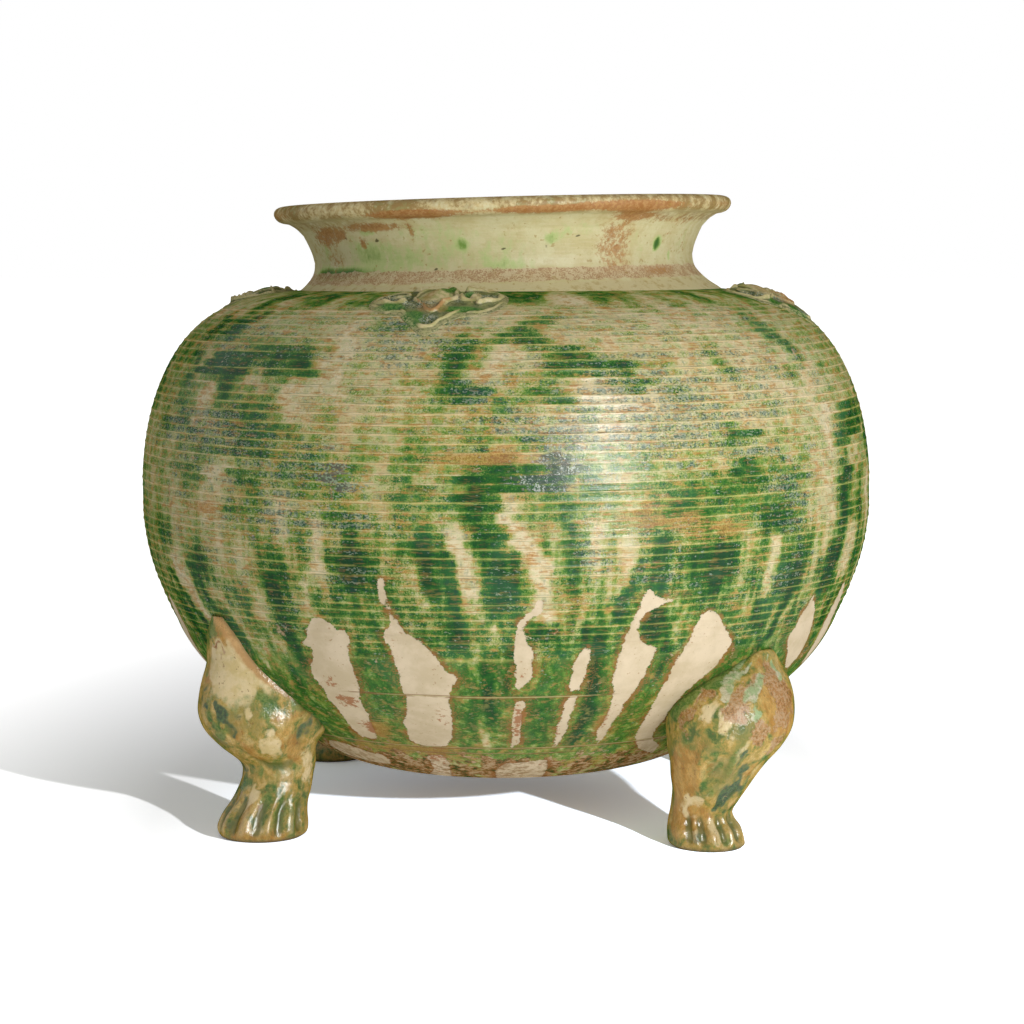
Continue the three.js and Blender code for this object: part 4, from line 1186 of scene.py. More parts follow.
# Creases scratched round a foot: their points as angle and height, how deep and how wide in millimetres
TALL_CREASES = [
    ([(28, 33), (36, 29), (48, 26.6), (66, 26.2), (84, 28)], 0.7, 1.6),
    ([(14, 46.5), (22, 44.5), (28, 41), (27, 38)], 0.45, 1.1), ([(-4, 44), (4, 40.5), (14, 38.5)], 0.4, 1.1),
]
SLANTED_CREASES = [
    ([(-4, 20), (-16, 15.5), (-32, 14), (-52, 14.6)], 0.5, 1.4), ([(10, 30), (2, 24), (-6, 20)], 0.4, 1.3),
]

# Colours on the feet: angle from the foot's front, height, half of each, and how strong
TALL_COLOURS = {
    "cream": [
        (38, 61, 34, 9.5, 1.9), (50, 9, 8, 5, 0.7), (22, 12, 7, 5, 0.7), (44, 45, 5, 2.5, 0.8),
        (65, 34.5, 8, 6, 0.9), (25, 15.5, 14, 3, 0.8), (112, 25, 9, 6, 0.7), (14, 62, 10, 6, 0.6),
    ],
    "amber": [
        (36, 75, 26, 5.5, 1.1), (30, 39.5, 5, 3, 0.8), (41, 31, 11, 5, 0.7), (76, 35, 5, 5, 0.7),
        (92, 46.5, 18, 2.6, 0.6), (97, 31, 13, 7, 0.8), (-10, 59, 11, 7, 0.8), (24, 8.5, 12, 4, 0.8),
        (60, 2, 70, 2.5, 0.6),
    ],
    "green": [
        (-10, 76, 30, 4, 0.9), (-25, 68.5, 15, 2.5, 0.7), (-19, 60.5, 11, 3, 0.6), (8, 41, 8, 5, 0.8),
        (67, 47, 6, 5, 0.8), (90, 47.5, 6, 5, 0.7), (12, 25, 8, 3, 0.7), (30, 25.5, 6, 2, 0.7),
        (62, 25, 13, 3, 0.7), (92, 24, 8, 2.5, 0.7), (0, 16, 9, 4, 0.7), (55, 14, 7, 6, 0.8),
        (79, 9, 9, 6, 0.8), (100, 9, 13, 7, 0.6), (30, 50, 30, 3, 0.4),
    ],
    "teal": [
        (4, 48, 5, 2.5, 0.9), (25, 45, 6, 2.5, 0.9), (26, 40, 3, 1.6, 0.8), (102, 39.5, 10, 5, 0.8),
        (-9, 49.5, 4, 2, 0.7), (-6, 34, 16, 3.5, 0.6), (-15, 24, 15, 4, 0.6), (8.5, 7.5, 4, 5, 0.6),
    ],
    "olive": [
        (45, 46, 16, 5.5, 0.6), (20, 8, 9, 4, 0.4),
    ],
    "brown": [
        (0, 9, 8, 5, 0.5), (47, 10, 4, 6, 0.7), (17, 68.5, 13, 1.6, 0.7),
    ],
    "white": [],
}
SLANTED_COLOURS = {
    "cream": [
        (-65, 50, 10, 4.5, 0.8), (-45, 46, 5, 2.5, 0.8), (-72, 14, 17, 2.5, 0.8), (-61, 6, 9, 3, 0.7),
        (-27, 5, 8, 3.5, 0.8), (-30, 37.5, 5, 5, 0.6), (-51, 21, 3, 4, 0.5),
    ],
    "amber": [
        (12, 50, 18, 9, 1.1), (-88, 24, 20, 14, 1.3), (-60, 9, 34, 5, 0.9), (-56, 29.5, 2.5, 1.5, 0.9),
        (0, 27, 10, 3.2, 0.6), (-92, 7.5, 18, 5, 0.8), (4, 56.5, 16, 7, 0.7), (-20, 63.5, 11, 2, 0.7),
    ],
    "green": [
        (-34, 32, 6, 8, 0.6), (-90, 38, 12, 5, 0.5), (-112, 51, 14, 5, 1), (-95, 57, 13, 5, 1),
        (-78, 62, 13, 5, 1), (-60, 66, 11, 4, 0.8), (-58, 35, 4, 5.5, 0.8), (-47.5, 31, 3, 2.5, 0.8),
        (-51, 24, 9, 4.5, 0.7), (7.5, 32, 8, 3, 0.8), (-11, 3.5, 9, 2.8, 0.7),
    ],
    "teal": [
        (-24, 36, 4, 3.5, 0.9), (-13, 28.5, 5, 4, 0.9), (-5, 20.5, 15, 3.8, 0.9), (-17, 17, 8, 3.5, 0.8),
        (-56, 5, 5, 3, 0.6),
    ],
    "olive": [
        (-30, 46, 16, 5, 0.6), (-20, 24, 12, 9, 0.5), (-63, 39, 9, 3.5, 0.7), (-112, 28, 12, 12, 0.8),
        (-37, 32, 9, 10, 0.6), (-45, 8, 5, 4, 0.6), (20, 6.5, 5, 4, 0.6),
    ],
    "brown": [
        (-88, 45, 7, 5, 0.7), (-44, 50, 8, 4, 0.6), (14, 54, 14, 8, 0.85), (-82, 55, 8, 4, 0.8),
        (-100, 48, 6, 3, 0.8), (-17, 43.5, 13, 3, 0.7), (10, 36.5, 6, 4, 0.7), (-36, 55, 16, 5.5, 0.7),
        (-5, 60, 12, 4, 0.5),
    ],
    "white": [
        (-52, 63, 17, 3.5, 0.7), (-62, 57.5, 8, 2.2, 0.9), (-20, 56, 10, 4.5, 0.8), (-20, 48, 8, 2.5, 0.9),
        (-34, 64.5, 4, 2, 0.8), (0, 65, 5, 1.5, 0.8), (16, 63, 9, 2.2, 0.8),
    ],
}

# The two moulds, with how high the toes are and the angle that faces the front. Ochre clay lies round the
# top of the tall one.
TALL_MOULD = dict(
    rings=TALL_FOOT, toes=16, pushes=TALL_PUSHES, creases=TALL_CREASES, oval=None,
    colours=TALL_COLOURS, front=30, hemmed=1)
SLANTED_MOULD = dict(
    rings=SLANTED_FOOT, toes=13, pushes=SLANTED_PUSHES, creases=SLANTED_CREASES, oval=OVAL,
    colours=SLANTED_COLOURS, front=-40, hemmed=0)
# Each foot's azimuth, the angles of the clefts between its toes, and its mould
FEET = {
    "front_left_foot": (-52.9, [-16, 15.4, 49.6, 78.9, 112.4], TALL_MOULD),
    "front_right_foot": (40.6, [-70.6, -48.6, -14.6, 14.4, 44.4], SLANTED_MOULD),
    "back_right_foot": (130, [-60, -30, 0, 30, 60], SLANTED_MOULD),
    "back_left_foot": (-138.1, [-64, -32, 0, 32, 64], TALL_MOULD),
}
# Colours wander this far from their places, in degrees and millimetres, in patches of this size
PATCH_TURN = 20
PATCH_LIFT = 7
PATCH_WIDTH = 14
PATCH_RISE = 5
CLEFT_DEPTH = 1.5
CLEFT_WIDTH = 9.5
TOE_HEIGHT = 0.9
FOOT_ROWS = 150
FOOT_SIDES = 200
# Feet reach this far into the wall, and flare this far where they come out of it
FOOT_ROOT = 3
FLARE_REACH = 4
FLARE = 1.6

FOOT_RAMP = [
    (0.32, (0.07, 0.13, 0.03)), (0.42, (0.22, 0.225, 0.05)),
    (0.51, (0.44, 0.29, 0.065)), (0.65, (0.62, 0.44, 0.16)),
]
DARK_OLIVE = (0.13, 0.15, 0.035)
PALE_OLIVE = (0.29, 0.25, 0.07)
DARK_AMBER = (0.40, 0.19, 0.035)
PALE_AMBER = (0.53, 0.31, 0.08)
FOOT_CREAM = (0.72, 0.58, 0.33)
FOOT_STRAW = (0.62, 0.48, 0.22)
FOOT_GREEN = (0.045, 0.14, 0.02)
FOOT_LEAF = (0.17, 0.25, 0.055)
DARK_TEAL = (0.015, 0.055, 0.045)
PALE_TEAL = (0.06, 0.14, 0.06)
WORN_RAMP = [(0.36, (0.15, 0.06, 0.015)), (0.46, (0.37, 0.16, 0.04)), (0.6, (0.46, 0.30, 0.17))]
FOOT_WHITE = (0.60, 0.56, 0.39)
FOOT_MINT = (0.30, 0.42, 0.20)
CLEFT_DARK = (0.03, 0.08, 0.03)
CLEFT_OLIVE = (0.16, 0.17, 0.04)
TOE_CREAM = (0.70, 0.55, 0.28)
HEM_CLAY = (0.58, 0.34, 0.13)
HEM_BROWN = (0.46, 0.25, 0.09)
SEAM_DARK = (0.09, 0.10, 0.04)
VEIN_DARK = (0.14, 0.15, 0.04)
VEIN_PALE = (0.60, 0.45, 0.19)
FOOT_SPOT = (0.22, 0.10, 0.03)
FOOT_GRAIN = (0.16, 0.15, 0.05)
SOLE_DARKENED = (0.08, 0.06, 0.03)


def turned_to(angle, middle):
    """The signed angle from a middle, within half a turn."""
    return (angle - middle + 180) % 360 - 180


def foot_relief(angle, height, girth, clefts, mould):
    """How far the modelling stands out from a foot's plain form."""
    out = np.zeros(np.broadcast_shapes(angle.shape, height.shape))
    toes = mould["toes"]
    nearest = np.min([np.abs(turned_to(angle, cleft)) for cleft in clefts], axis=0)
    rise = smoothstep(0.6, 4.5, height) * (1 - smoothstep(toes * 0.62, toes * 1.15, height))
    out -= CLEFT_DEPTH * rise * np.exp(-((nearest / CLEFT_WIDTH) ** 2))
    toed = smoothstep(1, 4, height) * (1 - smoothstep(toes * 0.5, toes * 0.95, height))
    spread = soft_span(turned_to(angle, (clefts[0] + clefts[-1]) / 2), -75, 75, 15)
    out += TOE_HEIGHT * toed * spread * smoothstep(0, 17, nearest)
    for middle, level, half_turn, half_rise, push in mould["pushes"]:
        out += push * mound(turned_to(angle, middle), height, (0, level, half_turn, half_rise))
    for points, depth, width in mould["creases"]:
        middle = points[len(points) // 2][0]
        line = [(turned_to(a, middle) * girth, h) for a, h in points]
        away = line_distance(turned_to(angle, middle) * girth, height, line)
        out -= depth * np.exp(-((away / width) ** 2))
    if mould["oval"]:
        middle, level, half_turn, half_rise = mould["oval"]
        away = np.hypot(turned_to(angle, middle) / half_turn, (height - level) / half_rise)
        out += OVAL_RIM * np.exp(-(((away - 0.85) / 0.22) ** 2)) - OVAL_HOLLOW * np.exp(-((away / 0.55) ** 2))
    return out


def proud_of_wall(places):
    """How far places stand out from the wall, and how the wall slopes there."""
    upright = lean(places, -BELLY_LEAN, BELLY_HEIGHT)
    reach = np.hypot(upright[..., 0], upright[..., 1])
    wall_radius = wall.radius_at_height(np.clip(upright[..., 2], BASE_HEIGHT, BELLY_HEIGHT))
    lower = slice(0, SHOULDER_START)
    slope = np.interp(upright[..., 2], wall.heights[lower], np.gradient(wall.radii, wall.heights)[lower])
    return (reach - wall_radius) / np.sqrt(1 + slope**2), slope


def flare(places, level):
    """Spreads a foot out softly where it leaves the wall."""
    proud = proud_of_wall(places)[0]
    near = np.exp(-((np.clip(proud, 0, None) / FLARE_REACH) ** 2)) * (proud > -FOOT_ROOT)
    near = near * smoothstep(24, 32, level)
    away = places[..., :2] - places.mean(axis=1, keepdims=True)[..., :2]
    away = away / np.linalg.norm(away, axis=-1, keepdims=True)
    places[..., :2] += away * (FLARE * near)[..., None]


def draw_back(places, proud, slope):
    """Draws what lies too deep inside the jar back into the wall."""
    lift = np.clip(-FOOT_ROOT - proud, 0, None)
    length = np.sqrt(1 + slope**2)
    outward = places[..., :2] / np.linalg.norm(places[..., :2], axis=-1, keepdims=True)
    places[..., :2] += outward * (lift / length)[..., None]
    places[..., 2] = np.clip(places[..., 2] - lift * slope / length, 0, None)


def patch_noise(across, up, seed):
    """Soft noise over patches of colour, with a finer one in it."""
    sizes = [(PATCH_WIDTH * share, PATCH_RISE * share, share) for share in (1, 0.4)]
    return sum(soft_noise(across / wide, up / tall, seed) * share for wide, tall, share in sizes)


def build_foot(name, material, azimuth, clefts, mould):
    curve = smooth_curve(mould["rings"], FOOT_ROWS)
    height, reach, sway, deep, wide = (column[:, None] for column in curve.T)
    angle = np.linspace(-180, 180, FOOT_SIDES, endpoint=False)[None, :]
    turn = np.radians(angle)
    relief = foot_relief(angle, height, np.radians(0.5 * (deep + wide)), clefts, mould)
    # The modelling dies away at the sole, whose edge is rounded
    relief = relief * smoothstep(0, 1.2, height) - 0.25 * (1 - smoothstep(0, 0.8, height))
    x = reach + (deep + relief) * np.cos(turn)
    y = sway + (wide + relief) * np.sin(turn)
    cos, sin = math.cos(math.radians(azimuth - 90)), math.sin(math.radians(azimuth - 90))
    level = np.broadcast_to(height, x.shape)
    places = np.stack([x * cos - y * sin, x * sin + y * cos, level], -1)
    places[0, :, 2] = 0
    flare(places, level)
    proud, slope = proud_of_wall(places)
    draw_back(places, proud, slope)
    ends = np.stack([places[0].mean(axis=0), places[-1].mean(axis=0)])
    fields = {
        "relief": relief,
        "rise": level,
        "near_wall": np.exp(-np.clip(proud, 0, None) / 2.5) * smoothstep(30, 36, level),
        "hem": soft_span(angle, -5, 95, 12) * smoothstep(44, 58, level) * mould["hemmed"],
    }
    facing = turned_to(angle, mould["front"]) + 0 * height
    strayed = facing + PATCH_TURN * patch_noise(facing, height, 21)
    lifted = height + PATCH_LIFT * patch_noise(facing, height, 22)
    for colour, rows in mould["colours"].items():
        turned = [(turned_to(middle, mould["front"]), *rest) for middle, *rest in rows]
        fields[colour] = ellipses(strayed, lifted, turned)
    return make_piece(name + "_glazed", places, ends, material, name, fields)


def foot_colours(g):
    """Each colour where the layout has it, mottled in itself."""
    def where(name, low, high, noise, amount=1.1):
        return g.edge(g.field(name), low, high, (noise, 1.3 * amount), (g.fine, 0.45))

    g.color = g.ramp(g.add(g.coarse, g.sway(g.down, 0.5), g.sway(g.fine, 0.3)), FOOT_RAMP)
    g.coat(g.mix(g.fine, DARK_OLIVE, PALE_OLIVE), where("olive", 0.1, 0.8, g.coarse), 0.85)
    g.coat(g.mottle(g.down, 0.4, 0.6, DARK_AMBER, PALE_AMBER), where("amber", 0.15, 0.75, g.other), 0.9)
    creamy = where("cream", 0.25, 0.75, g.third, 1)
    g.plain = g.off(g.times(creamy, 0.85))
    g.coat(g.mottle(g.other, 0.4, 0.66, FOOT_CREAM, FOOT_STRAW), creamy, 0.95)
    green = g.mix(g.edge(g.fine, 0.38, 0.62, (g.coarse, 0.6)), FOOT_GREEN, FOOT_LEAF)
    g.coat(green, where("green", 0.15, 0.85, g.third, 1.3), 0.9)
    g.coat(g.mottle(g.fine, 0.38, 0.62, DARK_TEAL, PALE_TEAL), where("teal", 0.25, 0.8, g.coarse, 1.3), 0.92)
    g.worn = where("brown", 0.3, 0.6, g.other, 1.5)
    g.coat(g.ramp(g.add(g.fine, g.sway(g.other, 0.5)), WORN_RAMP), g.worn, 0.88)
    g.white = where("white", 0.4, 0.7, g.other, 1.2)
    g.coat(g.mottle(g.third, 0.44, 0.56, FOOT_WHITE, FOOT_MINT), g.white, 0.85)


def foot_shading(g):
    """Green pools in the clefts, proud parts are thin and pale, and a dark seam lies beside the wall."""
    relief = g.field("relief")
    rise = g.field("rise")
    near_wall = g.field("near_wall")
    g.coat(g.mix(g.third, CLEFT_DARK, CLEFT_OLIVE), g.step(relief, -0.35, -1.1), 0.7)
    g.coat(TOE_CREAM, g.step(relief, 0.2, 1), g.step(rise, 22, 12), 0.6)
    hemmed = g.edge(g.times(near_wall, g.field("hem")), 0.3, 0.5, (g.other, 0.3))
    g.coat(g.mottle(g.other, 0.4, 0.6, HEM_CLAY, HEM_BROWN), hemmed, 0.9)
    g.coat(SEAM_DARK, g.step(near_wall, 0.7, 1), g.off(g.times(hemmed, 0.6)), 0.7)
    # Dark and pale veins and specks run through the glaze
    g.coat(VEIN_DARK, g.step(g.math("ABSOLUTE", g.sway(g.vein, 1)), 0.03, 0.006), g.plain, 0.4)
    g.coat(VEIN_PALE, g.step(g.vein, 0.6, 0.7), 0.4)
    g.coat(FOOT_SPOT, g.step(g.noise(g.here, 1.3, 2), 0.66, 0.72), 0.6)
    g.coat(FOOT_GRAIN, g.step(g.speckled, 0.56, 0.7), g.plain, 0.25)
    # The lowest two millimetres of each foot are coloured darker, towards the floor
    g.coat(SOLE_DARKENED, g.step(rise, 2, 0.2), 0.75)


def foot_glaze():
    """Glossy amber glaze mottled with green, cream and blue-green, weathered in places."""
    g = Glaze("foot_glaze")
    g.coarse = g.noise(g.here, 6, 5, 0.62, 0.5)
    g.other = g.noise(g.shift((0.2, 0.3, 0.1)), 5, 5, 0.65)
    g.third = g.noise(g.shift((0.5, 0.1, 0.4)), 4, 5, 0.65)
    g.down = g.noise(g.stretch((1, 1, 0.35)), 2.6, 4, 0.62)
    g.fine = g.noise(g.here, 1, 4, 0.68)
    g.speckled = g.noise(g.here, 0.5, 2, 0.8)
    # Stretched and moved on, so that the veins lie apart from the other noises
    place = g.node("VectorMath", g.shift((0.7, 0.2, 0.1)), (1, 1, 0.6), operation="MULTIPLY").outputs[0]
    g.vein = g.noise(place, 2.4, 6, 0.72, 1.2)
    foot_colours(g)
    foot_shading(g)
    roughness = g.add(0.17, g.sway(g.fine, 0.2), g.times(g.worn, 0.3), g.times(g.white, 0.25))
    height = g.add(
        g.times(g.coarse, 1.2), g.times(g.other, 0.7), g.times(g.fine, 0.25), g.times(g.worn, -0.4))
    return g.finish(roughness, height, 0.35, FOOT_SHINE)


# The sprig, as in the CAD. Its places are across and down the shoulder, from its middle.
SPRIG_RADIUS = 94
SPRIG_AZIMUTHS = [-14, 76.5, 166.5, -103.5]
SPRIG_OUTLINE = [
    (1, -10.5), (-5, -9.3), (-13, -9.8), (-19, -7), (-22, -1), (-22, 5), (-19.5, 10), (-14, 13), (-9, 14),
    (-5, 18.3), (1, 23.4), (6.5, 18.4), (10, 15.6), (16, 14), (21, 11), (24, 5), (24, -2), (21.5, -8),
    (15, -9.6), (8, -9.3), (1, -10.5),
]
SPRIG_HEART = np.array([1.0, 3.0])
# Raised lines: height, width, how worn they are, which also sets how strongly a highlight is painted on them,
# and the points they curve through
SPRIG_LINES = [
    (1.4, 0.7, 1, [(-6.6, 3), (-3, 8.4), (1.2, 14), (4.2, 9), (7.8, 3.4)]),
    (1.2, 0.8, 0.35, [(-6.2, 3), (-4.5, -4), (1.2, -8.6), (6.5, -4), (7.4, 3)]),
    (1.8, 0.7, 0.7, [(-7.5, -6), (-13, -8.3), (-18.5, -5.5), (-20.6, 1), (-18.6, 6.5),
     (-13, 8.6), (-8.5, 7.5)]),
    (1.1, 0.65, 0.5, [(-18, 1.5), (-16.5, -2.8), (-12, -3.6), (-9.5, -0.5), (-12, 3), (-16, 3.6)]),
    (1.8, 0.7, 0.65, [(10, -5.5), (15, -8), (20.5, -6.4), (22.3, -1), (20.3, 5.5), (15, 8)]),
    (1.5, 0.7, 0.8, [(14.5, 6), (9.8, 5), (9.6, 1), (12.6, -1), (14.8, 1.6), (12.8, 3.4)]),
    (0.9, 0.6, 0.5, [(-8.5, 11.5), (-3.5, 17.5), (1.2, 20.6), (5, 17.5), (9.5, 12.5)]),
    (0.8, 0.7, 0.5, [(-20.5, 7), (-15, 11.6), (-9, 12.8)]),
    (0.8, 0.7, 0.5, [(12, 13.6), (18, 11.5), (22.5, 6)]),
]
# The lines stray this far, in millimetres, over this far
SPRIG_STRAY = 1.3
SPRIG_STRAY_REACH = 2.6
# The raised middle and the hollows: across, down, half of each, and how high or deep
SPRIG_DOME = (1.2, -1, 4.6, 7.5, 2.3)
SPRIG_RECESSES = [
    (-15.5, 1.5, 3.6, 2.8, 0.8), (17, 0.5, 2.8, 3.2, 0.9), (1.2, 17.8, 1.8, 1.6, 0.9),
    (-10.5, 11, 3.4, 1.3, 0.8), (10.5, 11.6, 5, 1.3, 0.8), (-8, 2, 1.2, 4, 0.6), (8.4, -3, 1.2, 3, 0.6),
]
# Where the sprig is green, has broken down to grains, and is ochre: across, down, half of each and how strong
SPRIG_GREEN = [
    (-12.5, 10.5, 5, 2, 1), (-4, 17, 4, 4, 1), (9, 11.6, 7, 1.8, 1), (11, 0, 3, 2.5, 0.8),
    (4, -3, 3, 5, 0.7), (-20, -6, 4, 3, 0.5), (21, -6, 4, 3, 0.5),
]
SPRIG_SPECKLE = [
    (-15.5, 1.5, 5, 3.5, 1), (17.5, 1, 4, 4, 1), (1.2, 17.5, 2.5, 2.5, 1), (-1, 9, 6, 3, 0.8),
    (8.5, 3, 2, 4, 0.8), (-8, 4, 2, 4, 0.8),
]
SPRIG_OCHRE = [
    (-1.5, 1, 3, 5, 0.9), (1.4, 12, 4, 3, 0.8), (-3, 9, 3, 4, 0.5), (4.6, 9, 3, 4, 0.5),
    (-14, -7.5, 6, 1.6, 0.4),
]
SPRIG_SIDES = 180
SPRIG_TOP_ROWS = 56
# Rings of the underside and the edge, as shares of the outline, and how deep they lie in the shoulder
SPRIG_UNDER = [0.5, 0.98, 1.015]
SPRIG_SUNK = [-1.6, -1.6, -0.9]
# The leaf's own thickness, and how much of the relief shows
SPRIG_EDGE = 0.15
SPRIG_BODY = 0.7
RELIEF_GAIN = 1.05

SPRIG_STRAW = (0.60, 0.50, 0.27)
SPRIG_OLIVE = (0.36, 0.36, 0.13)
SPRIG_LINE = (0.09, 0.10, 0.03)
POOLED_AND_SHADED_DARK = (0.035, 0.075, 0.018)
POOLED_AND_SHADED_OLIVE = (0.15, 0.17, 0.06)
SPRIG_DEEP = (0.02, 0.12, 0.015)
SPRIG_LEAF = (0.11, 0.24, 0.04)
WORN_LIT_CREAM = (0.56, 0.48, 0.28)
WORN_LIT_TAN = (0.46, 0.36, 0.16)
WORN_LIT_PINK = (0.50, 0.27, 0.11)
SPRIG_BROWN = (0.36, 0.20, 0.07)
FRINGE_STRAW = (0.52, 0.46, 0.24)


def sprig_crests(across, down):
    """The raised lines, as how high they stand and as how worn they are, which also carries their painted
    highlight.
    """
    raised, worn = np.zeros(across.shape), np.zeros(across.shape)
    here = across / SPRIG_STRAY_REACH, down / SPRIG_STRAY_REACH
    strayed = [line + SPRIG_STRAY * soft_noise(*here, seed) for line, seed in ((across, 31), (down, 32))]
    uneven = 1 + soft_noise(across / 3, down / 3, 33)
    for height, width, wear_and_highlight, points in SPRIG_LINES:
        away = line_distance(*strayed, smooth_curve(points, 4 * len(points))) / (width * uneven)
        raised = np.maximum(raised, height * uneven * np.exp(-(away**2)))
        worn = np.maximum(worn, wear_and_highlight * np.exp(-(away**2)))
    return raised, worn


def build_sprig(name, azimuth, material):
    outline = smooth_curve(SPRIG_OUTLINE, SPRIG_SIDES + 1)[:-1]
    shares = np.sin(np.linspace(np.pi / 2, 0.02, SPRIG_TOP_ROWS)) ** 0.8
    share = np.concatenate([SPRIG_UNDER, shares])[:, None]
    across, down = (heart + (edge - heart) * share for heart, edge in zip(SPRIG_HEART, outline.T))
    relief, worn = sprig_crests(across, down)
    for *recess, depth in SPRIG_RECESSES:
        relief = relief - depth * mound(across, down, recess)
    relief = relief + SPRIG_DOME[-1] * mound(across, down, SPRIG_DOME[:-1])
    # The edge comes down to the shoulder all round
    thickness = 0.25 * (1 - share**8) + 0.75 * (1 - smoothstep(0.72, 1, share))
    raised = SPRIG_EDGE + (SPRIG_BODY + relief * RELIEF_GAIN) * thickness
    raised[:len(SPRIG_SUNK)] = np.array(SPRIG_SUNK)[:, None]
    radius = SPRIG_RADIUS + down * 0.94
    top_radii, top_heights = wall.radii[SHOULDER_START:][::-1], wall.heights[SHOULDER_START:][::-1]
    level = np.interp(radius, top_radii, top_heights)
    fall = np.interp(radius, top_radii, -np.gradient(top_heights, top_radii))
    length = np.sqrt(1 + fall**2)
    turn = np.radians(azimuth) + across / SPRIG_RADIUS
    out = radius + raised * fall / length
    places = lean_vessel(np.stack([out * np.sin(turn), -out * np.cos(turn), level + raised / length], -1))
    ends = np.stack([places[0].mean(axis=0), places[-1].mean(axis=0)])
    fields = {
        "relief": relief,
        "crest": worn,
        "fringe": smoothstep(0.8, 1, share),
        "green": ellipses(across, down, SPRIG_GREEN),
        "speckle": ellipses(across, down, SPRIG_SPECKLE),
        "ochre": ellipses(across, down, SPRIG_OCHRE),
    }
    return make_piece(name + "_glazed", places, ends, material, name, fields)


def sprig_glaze():
    """Green and blue-black in the hollows, darkened there by pooled glaze and painted shade, and worn to
    cream and pink-ochre on the ridges, whose pale crests are partly painted highlight.
    """
    g = Glaze("sprig_glaze")
    coarse = g.noise(g.here, 3.5, 5, 0.65)
    fine = g.noise(g.here, 1, 4, 0.65)
    speckled = g.noise(g.here, 0.5, 2, 0.8)
    grain, other_grain, rare = g.grains(g.here, 0.42)
    relief, crest, fringe, ochre = (g.field(name) for name in ("relief", "crest", "fringe", "ochre"))
    g.color = g.mix(g.edge(coarse, 0.36, 0.62, (fine, 0.4)), SPRIG_STRAW, SPRIG_OLIVE)
    g.coat(SPRIG_LINE, g.step(crest, 0.02, 0.1), g.step(crest, 0.3, 0.16), 0.8)
    # Dark in the hollows of the relief: partly pooled glaze, partly painted shade
    hollow = g.edge(relief, 0.75, -0.15, (coarse, 1.6), (fine, 0.8))
    g.coat(g.mottle(coarse, 0.4, 0.58, POOLED_AND_SHADED_DARK, POOLED_AND_SHADED_OLIVE), hollow, 0.85)
    green = g.edge(g.field("green"), 0.25, 0.7, (coarse, 0.9), (fine, 0.5))
    g.coat(g.mottle(fine, 0.4, 0.62, SPRIG_DEEP, SPRIG_LEAF), green, 0.92)
    grains = g.step(g.add(g.field("speckle"), g.sway(coarse, 1), g.times(relief, -0.2)), 0.1, 0.7)
    g.coat(INK_SPECK, grains, g.step(other_grain, 0.52, 0.64), 0.7)
    g.coat(g.mottle(rare, 0.4, 0.6, WHITE_SPECK, GREY_SPECK), grains, g.step(grain, 0.5, 0.62), 0.6)
    crest_wear_and_highlight = g.mottle(coarse, 0.42, 0.6, WORN_LIT_CREAM, WORN_LIT_TAN)
    crest_wear_and_highlight = g.mix(g.edge(ochre, 0.2, 0.5, (fine, 0.8), (coarse, 0.6)), crest_wear_and_highlight, WORN_LIT_PINK)
    # Pale cream and pink-ochre on the raised lines: partly wear, partly painted highlight
    g.coat(crest_wear_and_highlight, g.edge(crest, 0.45, 0.85, (fine, 1.4), (coarse, 2)), 0.85)
    g.coat(SPRIG_BROWN, g.edge(ochre, 0.5, 0.9, (fine, 1), (coarse, 0.7)), 0.5)
    g.coat(FRINGE_STRAW, fringe, g.step(fine, 0.38, 0.58), 0.6)
    roughness = g.add(0.3, g.sway(fine, 0.3), g.times(grains, 0.15), g.times(fringe, 0.3))
    height = g.add(g.times(fine, 0.6), g.times(g.sway(speckled, 1), grains, 0.6), g.times(coarse, 0.7))
    return g.finish(roughness, height, 0.25)


# The camera stands where the photographer's did
CAMERA_DISTANCE = 0.960
CAMERA_HEIGHT = 0.2022
CAMERA_PITCH = 5.57
CAMERA_YAW = 0.132
CAMERA_LENS = 90.1
SENSOR_WIDTH = 36

# A tall soft window stands close by on the right and lights the jar. A small bright part of it, lower down,
# throws the jar's crisp shadow on the floor. The window's shine is only for the highlights on the glaze.
# Places and sizes are in metres and powers in watts.
WINDOW_PLACE = (0.359, -0.675, 0.30)
WINDOW_WIDTH = 0.07
WINDOW_TALL = 0.22
WINDOW_POWER = 2
SHINE_WIDTH = 0.1
SHINE_TALL = 0.38
SHINE_POWER = 12
SPOT_PLACE = (0.359, -0.675, 0.234)
SPOT_WIDTH = 0.018
SPOT_POWER = 11.5
LIT_PLACE = (0, 0, 0.12)
ROOM_STRENGTH = 0.46
FLOOR_SIZE = 60
# How white the floor is to the light, and to the camera near the jar and far from it, where it is pure white.
# To the camera, painted light lifts and cools the shadow under the jar, painted shade keeps it dark beside
# the jar, and the shadow fades out further away.
FLOOR_WHITE = (0.8, 0.8, 0.8)
FLOOR_LIT_UNDER = (1.62, 1.82, 2.1)
FLOOR_SHADED_BESIDE = (1.06, 1.07, 1.1)
FLOOR_FAR = (2.5, 2.5, 2.5)
# Distances at which these colours hold, with those to the front and back counted less
UNDER_REACH = 0.04
BESIDE_REACH = 0.13
FAR_REACH = 0.3
DEPTH_SHARE = 0.45
# A veil of light over the floor keeps its darkest shadow grey
FLOOR_VEIL = 0.1


def build_camera():
    camera = bpy.data.cameras.new("camera")
    camera.lens = CAMERA_LENS
    camera.sensor_width = SENSOR_WIDTH
    holder = bpy.data.objects.new("camera", camera)
    holder.location = (0, -CAMERA_DISTANCE, CAMERA_HEIGHT)
    holder.rotation_euler = (math.radians(90 - CAMERA_PITCH), 0, math.radians(-CAMERA_YAW))
    bpy.context.scene.collection.objects.link(holder)
    bpy.context.scene.camera = holder


